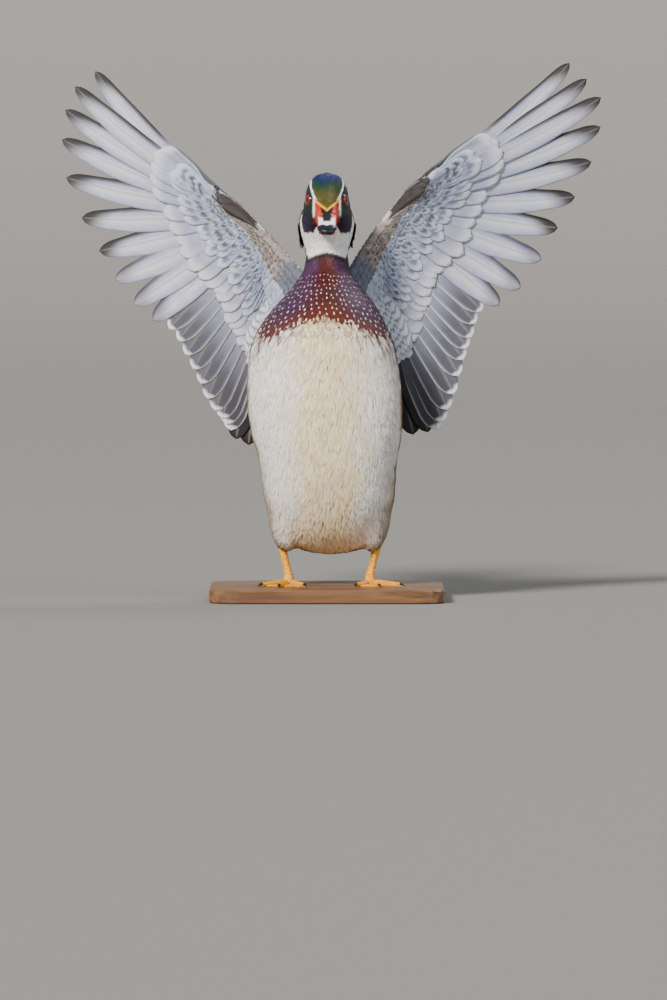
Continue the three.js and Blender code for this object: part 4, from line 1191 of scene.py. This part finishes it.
GREATER_COVERTS, GREATER_WIDTH = 26, 18
COVERT_TIERS = [("median", 0.66, 13, 32), ("lesser", 0.46, 10, 42), ("lesser", 0.28, 9, 46)]
for name, plan in WINGS.items():
    surface = WingSurface(plan)
    core = arm_core(surface, f"wing_{name}_arm")
    settled(core, covert_vane, "wing_feathers", f"wing_{name}")
    vanes = []
    for n in range(FEATHERS):
        outline, shaft = (primary_outline, 0.3) if n < PRIMARIES else (secondary_outline, 0.15)
        vanes.append(wing_vane(
            surface, n, 0.005, 1, 0, feather_width(n), outline, FLIGHT_ROWS, FLIGHT_COLS,
            flight_tone, shaft=shaft,
        ))
    join_vanes(f"wing_{name}_flight_feathers", vanes, flight_vane, "wing_feathers")
    rng = np.random.default_rng(51)
    for face_name, face in (("under", 1), ("upper", -1)):
        vanes = []
        for even_n in np.linspace(-0.1, 22.8, GREATER_COVERTS):
            n = even_n + rng.uniform(-0.12, 0.12)
            end = covert_reach(even_n) * rng.uniform(0.94, 1.04)
            vanes.append(wing_vane(
                surface, n, 0.0, end, face * TIER * rng.uniform(0.66, 0.8), GREATER_WIDTH,
                covert_outline, *COVERT_GRID[face], covert_tone("greater"), camber=0.5 * face,
                only=face,
            ))
        for tier, (kind, reach, width, count) in enumerate(COVERT_TIERS):
            for even_n in np.linspace(0.2, 22.6, count):
                n = even_n + rng.uniform(-0.2, 0.2)
                end = covert_reach(even_n) * reach * rng.uniform(0.86, 1.1)
                lift = face * TIER * (1.1 + 0.17 * tier + rng.uniform(-0.05, 0.05))
                vanes.append(wing_vane(
                    surface, n, -0.06, end, lift, width, covert_outline, *COVERT_GRID[face],
                    covert_tone(kind), camber=0.4 * face, only=face,
                ))
        join_vanes(f"wing_{name}_{face_name}_coverts", vanes, covert_vane, "wing_feathers")
        vanes = small_coverts(
            surface, face, ARM_ROWS[face], ARM_COVERTS[face], 14, 7.5, 31, covert_tone("lesser"), 1.4,
        )
        vanes += small_coverts(
            surface, face, EDGE_ROWS, EDGE_COVERTS, 10, 5.5, 33, covert_tone("marginal"), 1.0,
        )
        join_vanes(f"wing_{name}_{face_name}_lesser_coverts", vanes, covert_vane, "wing_feathers")
    vanes = []
    for k, (first, last) in enumerate(ALULA_RUNS):
        places = np.linspace(0, 1, ALULA_ROWS)
        ring_s, ring_face = vane_ring(FINE_COLS)
        along_edge = first + (last - first) * places
        line = surface.on_line(surface.front, along_edge)
        inward = unit(surface.on_line(surface.rear, along_edge) - line)
        normal = surface.frame(along_edge, np.full(ALULA_ROWS, 0.05))[2]
        centre = line + inward * (2.0 + 2.4 * (2 - k)) + normal * (3.8 - 0.8 * k + 3.6 * places)[:, None]
        points = vane_points(
            centre, -inward, normal, ALULA_WIDTH / 2 * covert_outline(places), ring_s,
            0.2 * ring_face - 0.5 * ring_s**2,
        )
        grid_t, grid_s = np.meshgrid(places, ring_s, indexing="ij")
        edge = smooth(0.1, 0.8, np.abs(ring_s))[None, :] * (0.6 + 0.4 * ripple(points, k, 3))
        tones = mixed(tint("4d4745"), tint("221d1b"), edge)
        vanes.append((points, tones, np.stack([grid_s, grid_t], -1)))
    join_vanes(f"wing_{name}_alula", vanes, flight_vane, "wing_feathers")
    vanes = []
    for n in np.linspace(18.5, 24.2, 9):
        vanes.append(wing_vane(
            surface, n, -0.12, 0.42, TIER * 2.0, 13, covert_outline, 30, 9,
            axillar_tone, tilt_share=0.5,
        ))
    join_vanes(f"wing_{name}_axillars", vanes, covert_vane, "wing_feathers")

# The tail: twelve broad feathers of dark keratin fanned from the rump, the middle pair on top,
# with three tiers of tail coverts over their roots and two below.
TAIL_ROOT = np.array((0, 44, 58), float)
TAIL_LENGTH, TAIL_FAN, TAIL_WIDTH = 104, 24, 18.6
TAIL_FEATHERS, TAIL_STEP, TAIL_BOW = 12, 0.9, 2.5
TAIL_COVERTS, TAIL_COVERT_WIDTH = 11, 12
tail_outline = rounded(profile([(0, 0.4), (0.5, 0.95), (0.85, 0.95), (1, 0.8)]), 0.14)


def tail_vane(turn, start, length, lift, width, rows, cols, colour, seed):
    """One feather of the tail or its coverts, turned off the middle by some degrees."""
    slope, bend = TAIL_SLOPE, math.radians(turn)
    ahead = math.cos(bend)
    axis = np.array((math.sin(bend), ahead * math.cos(slope), ahead * math.sin(slope)))
    normal = np.array((0, -math.sin(slope), math.cos(slope)))
    places = np.linspace(0, 1, rows)
    centre = TAIL_ROOT + axis * (start + places * length)[:, None]
    centre = centre + normal * (lift - TAIL_BOW * np.sin(np.pi * places))[:, None]
    ring_s, face = vane_ring(cols)
    body = 0.22 * (1 - 0.8 * ring_s**2) + 0.3 * shaft_ridge(ring_s)
    points = vane_points(
        centre, unit(np.cross(axis, normal)), normal, width / 2 * tail_outline(places), ring_s,
        face * body * (1 - TIP_THINNING * places[:, None]),
    )
    tones = mixed(colour, tint("10302a"), 0.6 * (0.5 + 0.5 * ripple(points, seed, 5)))
    grid_t, grid_s = np.meshgrid(places, ring_s, indexing="ij")
    return points, tones, np.stack([grid_s, grid_t], -1)


vanes = []
for k in range(TAIL_FEATHERS):
    order = math.floor(abs(k - (TAIL_FEATHERS - 1) / 2))
    s = 2 * k / (TAIL_FEATHERS - 1) - 1
    vanes.append(tail_vane(
        TAIL_FAN * s, 4, TAIL_LENGTH * (1 - 0.14 * s * s),
        -TAIL_STEP * (2 * order + (0 if k < TAIL_FEATHERS / 2 else 1)), TAIL_WIDTH, 36, 11,
        RUMP_BLACK, k,
    ))
for tier, (lift, length, tone) in enumerate([
    (2.2, 54, "141816"), (2.9, 46, "171c19"), (3.6, 38, "141a18"),
    (-12.2, 50, "2a2018"), (-11.6, 42, "33271c"),
]):
    for k in range(TAIL_COVERTS):
        s = 2 * k / (TAIL_COVERTS - 1) - 1
        vanes.append(tail_vane(
            TAIL_FAN * 0.9 * s, 2, length * (1 - 0.22 * s * s) + 2.5 * (k % 3),
            lift - 2.4 * s * s + 0.3 * (k % 2), TAIL_COVERT_WIDTH, 18, 7, tint(tone), 20 + k + tier,
        ))
tail_vane_finish = feather_material("tail_vane", 260, 0.15, 0.3, 0.38, 0.0)
join_vanes("tail_feathers", vanes, tail_vane_finish, "tail_feathers", "tail")

# The crest: long silky feathers of crown and nape, swept back and down in layers, with the
# white lines of brow and cheek running on through it.
crest_outline = profile([(0, 0.5), (0.35, 1), (0.75, 0.8), (1, 0.12)])
crest_rise = profile([(0, -1), (0.2, 0.7), (0.5, 1), (1, 1.25)])
NAPE_HOLD = 298
CREST_ROWS, CREST_COLS, CREST_WIDTH = 18, 5, 5.0
FIRST_LAYER, BROW_LAYER, CHEEK_LAYER, TOP_LAYER = 1.7, 2.2, 4.8, 6.2
rng = np.random.default_rng(41)
places = np.linspace(0, 1, CREST_ROWS)
ring_s, face = vane_ring(CREST_COLS)
grid_t, grid_s = np.meshgrid(places, ring_s, indexing="ij")
vanes = []
for spread, first, last, lift, count in [
    (88, 311, 281, FIRST_LAYER, 60), (62, 322, 277, BROW_LAYER, 38), (58, 330, 279, 3.4, 34),
    (48, 338, 280, CHEEK_LAYER, 30), (38, 346, 281, TOP_LAYER, 26),
]:
    for k in range(count):
        s = 2 * k / (count - 1) - 1
        turn = math.radians(spread * s + rng.normal(0, 1.2))
        height = first + (last + 9 * s * s + rng.uniform(-1, 14) - first) * places
        held = np.maximum(height, NAPE_HOLD)
        off = lift * crest_rise(places) + rng.uniform(-0.5, 0.3)
        middle, deep = (back(held) + front(held)) / 2, (back(held) - front(held)) / 2 + off
        wide = half_width(held) + off
        out = unit(np.stack([np.sin(turn) / wide, np.cos(turn) / deep, 0.004 + 0 * wide], -1))
        side = unit(np.stack([out[:, 1], -out[:, 0], 0 * wide], -1))
        centre = np.stack([wide * math.sin(turn), middle + deep * math.cos(turn), height], -1)
        points = vane_points(
            centre, side, out, CREST_WIDTH / 2 * crest_outline(places), ring_s,
            0.1 * face - 0.35 * ring_s**2,
        )
        lateral = abs(math.degrees(turn))
        tone = mixed(CROWN_GREEN, FACE_PURPLE, 0.5 + 0.5 * ripple(points, 4, 16))
        if lift == FIRST_LAYER:
            tone = mixed(tone, tint("3a1028"), 0.7)
        if lift == TOP_LAYER:
            tone = mixed(tone, CROWN_GREEN, 0.6)
        if (lift == BROW_LAYER and 40 < lateral < 47) or (lift == CHEEK_LAYER and 33 < lateral < 39):
            tone = mixed(tone, WHITE, 0.9)
        vanes.append((points, tone * rng.uniform(0.85, 1.1), np.stack([grid_s, grid_t], -1)))
join_vanes("crest", vanes, head_plumage, "head_feathers")

# The eyes: a moist ball with a red iris and a black pupil in each socket, sunk in the head so
# that only its front shows, and round it a thin swollen ring of bare red skin, the lids.
EYE_RADIUS, EYE_SHOWS, EYE_BEARING = 5.5, 1.6, 32
PUPIL_RADIUS, IRIS_RADIUS = 2.7, 3.9
EYE_ROWS, EYE_COLS = 60, 48
LID_RADIUS, LID_THICKNESS, LID_CLOSING = 4.3, 0.48, 0.92
LID_ROWS, LID_COLS, LID_CREASES = 65, 14, 23
UP = np.array((0, 0, 1))
eye_shine, nodes, link, shader = material("eye_surface")
mottled_plumage(
    nodes, link, shader, "Generated", Scale=1600, Detail=2, Dark=0.7, Pale=1.25, Streak=0,
)
with_inputs(shader, Roughness=0.25, Coat_Weight=1.0, Coat_Roughness=0.02)
lid_skin, nodes, link, shader = material("lid_skin")
creases = with_inputs(nodes.new("ShaderNodeTexNoise"), Scale=1200)
reds = ramp(nodes, [(0.3, "70080a"), (0.7, "a8160f")])
link(creases.outputs["Fac"], reds.inputs["Fac"])
link(reds.outputs["Color"], shader.inputs["Base Color"])
raise_surface(nodes, link, shader, creases.outputs["Fac"], 0.4, 0.0002)
with_inputs(shader, Roughness=0.4)
wide = half_width(EYE_HEIGHT)
deep = (back(EYE_HEIGHT) - front(EYE_HEIGHT)) / 2
middle = (back(EYE_HEIGHT) + front(EYE_HEIGHT)) / 2
turn = math.radians(EYE_BEARING)
from_axis = np.linspace(0.01, math.pi - 0.01, EYE_ROWS)
a, b = np.meshgrid(from_axis, np.linspace(0, 2 * math.pi, EYE_COLS, endpoint=False), indexing="ij")
from_middle = EYE_RADIUS * np.sin(a)
eye_tones = painted(
    BLACK,
    (
        mixed(tint("8e1208"), tint("4c0a06"), smooth(2.7, 3.7, from_middle)),
        smooth(PUPIL_RADIUS - 0.12, PUPIL_RADIUS + 0.12, from_middle),
    ),
    (tint("1a0b08"), smooth(IRIS_RADIUS - 0.2, IRIS_RADIUS + 0.1, from_middle)),
)
eye_tones = with_ends(eye_tones, eye_tones[0, 0], eye_tones[-1, 0])
eye_bake = with_ends(np.stack([b / (2 * math.pi), a / math.pi], -1), (0.5, 0), (0.5, 1))
ring_a, ring_b = np.meshgrid(
    np.linspace(0, 2 * math.pi, LID_ROWS), np.linspace(0, 2 * math.pi, LID_COLS, endpoint=False),
    indexing="ij",
)
swell = LID_THICKNESS * (1 + 0.12 * np.sin(ring_a * LID_CREASES) * np.sin(ring_b))
radius = LID_RADIUS + swell * np.cos(ring_b)
lid_bake = with_ends(np.stack([ring_a, ring_b], -1) / (2 * math.pi), (0, 0.5), (1, 0.5))
lid_tones = np.broadcast_to(np.array(tint("b03a20")), (len(lid_bake), 3))
for name, side in (("right", -1), ("left", 1)):
    on_skin = np.array((side * wide * math.cos(turn), middle - deep * math.sin(turn), EYE_HEIGHT))
    out = unit(np.array((side * math.cos(turn) / wide, -math.sin(turn) / deep, 0)))
    flat = unit(np.cross(UP, out))
    rings = on_skin + out * (EYE_SHOWS - EYE_RADIUS) + EYE_RADIUS * (
        np.cos(a)[..., None] * out + (np.sin(a) * np.cos(b))[..., None] * flat
        + (np.sin(a) * np.sin(b))[..., None] * UP
    )
    ball = mesh_object(
        f"eye_{name}_ball", tube_points(rings), tube_faces(EYE_ROWS, EYE_COLS), eye_tones, eye_bake,
    )
    settled(ball, eye_shine, "eye", f"eye_{name}")
    rings = on_skin + out * 0.15 + (
        (radius * np.cos(ring_a))[..., None] * flat
        + (radius * LID_CLOSING * np.sin(ring_a))[..., None] * UP
        + (swell * 1.1 * np.sin(ring_b))[..., None] * out
    )
    lid = mesh_object(
        f"eye_{name}_lids", tube_points(rings), tube_faces(LID_ROWS, LID_COLS), lid_tones, lid_bake,
    )
    settled(lid, lid_skin, "eye")

# The bill: two horn mandibles over bone, meeting along the line of the mouth, with the nail at
# the tip and a nostril pierced through each side of the base, here a shallow dent whose dark
# middle is painted shade. Their form is read off at stations forward of the body's middle: half
# width, top, mouth line and the lower mandible's depth.
BILL_FORM = [
    (24, 9.8, 329, 310.5, 6.5), (34, 9.9, 327.5, 308.6, 5.4), (42, 9.1, 321.5, 306.4, 4),
    (50, 8.4, 316, 304.8, 3), (58, 8.2, 311.4, 303.4, 2.4), (65, 7.8, 307.8, 302.2, 1.8),
    (69, 5.6, 305.4, 301.2, 1.4), (71, 2.6, 303.6, 300.8, 1),
]
bill_half, bill_top, bill_low, bill_under = [
    profile([(station[0], station[column]) for station in BILL_FORM]) for column in range(1, 5)
]
MOUTH_GAP = 0.35
NOSTRIL_AT, NOSTRIL_HEIGHT, NOSTRIL_DEPTH = 46, 316.8, 1.5
BILL_ROWS, BILL_COLS, NAIL_ROWS = 90, 72, 30
BILL_BASE, NAIL_FROM, BILL_TIP = 24, 64, 71
to_tip = (1 - np.linspace(0.02, 1, NAIL_ROWS)) ** 1.6
forward = np.concatenate([
    np.linspace(BILL_BASE, NAIL_FROM, BILL_ROWS - NAIL_ROWS), BILL_TIP - (BILL_TIP - NAIL_FROM) * to_tip,
])
ring = np.linspace(0, 2 * math.pi, BILL_COLS, endpoint=False)


def mandible(top, low, half):
    """Rings of one mandible from its base forward to its tip."""
    c, s = np.cos(ring), np.sin(ring)
    x = half[:, None] * (np.sign(c) * np.abs(c) ** 0.75)
    rise = np.where(s > 0, 1.0, 0.6)
    z = (top + low)[:, None] / 2 + (top - low)[:, None] / 2 * (np.sign(s) * np.abs(s) ** rise)
    return np.stack([x, np.broadcast_to(-forward[:, None], x.shape), z], -1)


upper_rings = mandible(bill_top(forward), bill_low(forward), bill_half(forward))
x, y, z = np.abs(upper_rings[..., 0]), -upper_rings[..., 1], upper_rings[..., 2]
nostril = np.exp(-(((y - NOSTRIL_AT) / 1.7) ** 2 + ((z - NOSTRIL_HEIGHT) / 0.9) ** 2)) * (x > 3)
upper_rings[..., 0] -= np.sign(upper_rings[..., 0]) * NOSTRIL_DEPTH * nostril
bill_red = mixed(tint("a3100a"), tint("c9301c"), 0.5 + 0.5 * ripple(upper_rings, 3, 4))
white = smooth(314.6, 312.6, z - 0.25 * np.maximum(x - 3, 0)) * smooth(7.9, 7.1, x + 0.05 * (y - 50))
saddle = band(x, 3.4 + 1.7 * smooth(312, 321, z), 0.5, 0.5) * smooth(310.6, 311.8, z)
fork = BILL_FORK + BILL_FORK_RISE * x
# The nostril's dark middle is painted shade for its opening; its orange rim is the horn's own colour.
tones = painted(
    bill_red, (tint("f4f0ea"), white), (tint("12151f"), saddle),
    (tint("f0a800"), smooth(-2.2, -1.6, z - fork)),
    (tint("e08a10"), smooth(9.3, 9.7, x) * smooth(37, 35, y)),
    (FOREHEAD, smooth(-0.4, 0.4, z - fork)),
    (tint("11131b"), smooth(308.4, 307.2, z - 0.3 * x) * smooth(62, NAIL_FROM, y)),
    (tint("d85a08"), smooth(0.25, 0.5, nostril)), (tint("1a0805"), smooth(0.75, 0.9, nostril)),
)
bill_bake = np.stack(np.meshgrid(np.linspace(0, 1, BILL_COLS), np.linspace(0, 1, BILL_ROWS)), -1)
bill_bake = with_ends(bill_bake, (0.5, 0), (0.5, 1))
tones = with_ends(tones, tones[0, 0], tones[-1, 0])
upper = mesh_object(
    "bill_upper_horn", tube_points(upper_rings), tube_faces(BILL_ROWS, BILL_COLS), tones, bill_bake,
)
horn, nodes, link, shader = material("bill_horn")
pits = mottled_plumage(nodes, link, shader, Scale=500, Detail=5, Dark=0.85, Pale=1.12, Streak=0)
raise_surface(nodes, link, shader, pits.outputs["Height"], 0.25, 0.0003)
with_inputs(shader, Roughness=0.33)
settled(upper, horn, "bill_horn", "bill_upper")
LOWER_SHARE, SHORT_BY = 0.86, 4
lower_top = bill_low(forward) - MOUTH_GAP
lower_rings = mandible(lower_top, lower_top - bill_under(forward), bill_half(forward) * LOWER_SHARE)
lower_rings = lower_rings[:-SHORT_BY]
tones = mixed(tint("2a1c18"), tint("8a4a38"), smooth(2, 6, np.abs(lower_rings[..., 0])))
tones = with_ends(tones, tones[0, 0], tones[-1, 0])
lower_bake = np.concatenate([bill_bake[: len(tones) - 2], bill_bake[-2:]])
lower = mesh_object(
    "bill_lower_horn", tube_points(lower_rings), tube_faces(BILL_ROWS - SHORT_BY, BILL_COLS),
    tones, lower_bake,
)
settled(lower, horn, "bill_horn", "bill_lower")

# Legs and feet: scaled ochre skin over bone and sinew, with webs between the three front toes.
# Their meshes are the solids' own, and only the skin's finish is given here.
leg_skin, nodes, link, shader = material("leg_skin")
place = nodes.new("ShaderNodeTexCoord")
scales = with_inputs(nodes.new("ShaderNodeTexVoronoi"), Scale=520)
ochres = ramp(nodes, [(0.0, "a06004"), (0.5, "dc9404"), (1.0, "f2ae14")])
link(place.outputs["Object"], scales.inputs["Vector"])
link(scales.outputs["Distance"], ochres.inputs["Fac"])
link(ochres.outputs["Color"], shader.inputs["Base Color"])
raise_surface(nodes, link, shader, scales.outputs["Distance"], 0.5, 0.0005)
with_inputs(shader, Roughness=0.5)
for name in ("leg_right", "leg_left", "foot_right", "foot_left"):
    dress(name, leg_skin)

# The claws: a short curved cone of dark horn grown round the last bone of every toe. Each is set
# in the toe's end by the solids' own lengths and bearings of the toes, and bends to the board.
TOES = ((-27, 43), (0, 53), (27, 49), (168, 15))
FOOT_TURN, TOE_ROOT_X, TOE_ROOT_Y = 9, 35, 4.5
CLAW_ROWS, CLAW_COLS = 16, 14
CLAW_INSET, CLAW_LENGTH, CLAW_RADIUS = 5.0, 5.6, 1.55
CLAW_HEIGHT, CLAW_DROP, CLAW_FLATNESS, OVER_BOARD = 1.9, 1.3, 0.9, 0.05
t = np.linspace(0, 1, CLAW_ROWS)
around = np.linspace(0, 2 * math.pi, CLAW_COLS, endpoint=False)
radius = CLAW_RADIUS * np.sqrt(1 - t**1.5 * 0.985)
grid_t, grid_s = np.meshgrid(t, np.linspace(-1, 1, CLAW_COLS), indexing="ij")
claw_tones = mixed(tint("4a3620"), tint("17120e"), smooth(0, 0.5, grid_t))
claw_parts = []
for side in (-1, 1):
    root = np.array((side * TOE_ROOT_X + SIDE_SHIFT, TOE_ROOT_Y, 0))
    for turn, length in TOES:
        bearing = math.radians(turn + side * FOOT_TURN - 90)
        ahead = np.array((math.cos(bearing), math.sin(bearing), 0))
        aside = np.array((-math.sin(bearing), math.cos(bearing), 0))
        reach = length - CLAW_INSET + CLAW_LENGTH * t
        centre = root + ahead * reach[:, None] + UP * (CLAW_HEIGHT - CLAW_DROP * t**2)[:, None]
        rings = centre[:, None, :] + radius[:, None, None] * (
            np.cos(around)[:, None] * aside + np.sin(around)[:, None] * UP * CLAW_FLATNESS
        )
        rings[..., 2] = np.maximum(rings[..., 2], OVER_BOARD)
        claw_parts.append((rings, claw_tones, np.stack([grid_s, grid_t], -1)))
join_vanes("claws", claw_parts, horn, "leg_skin")
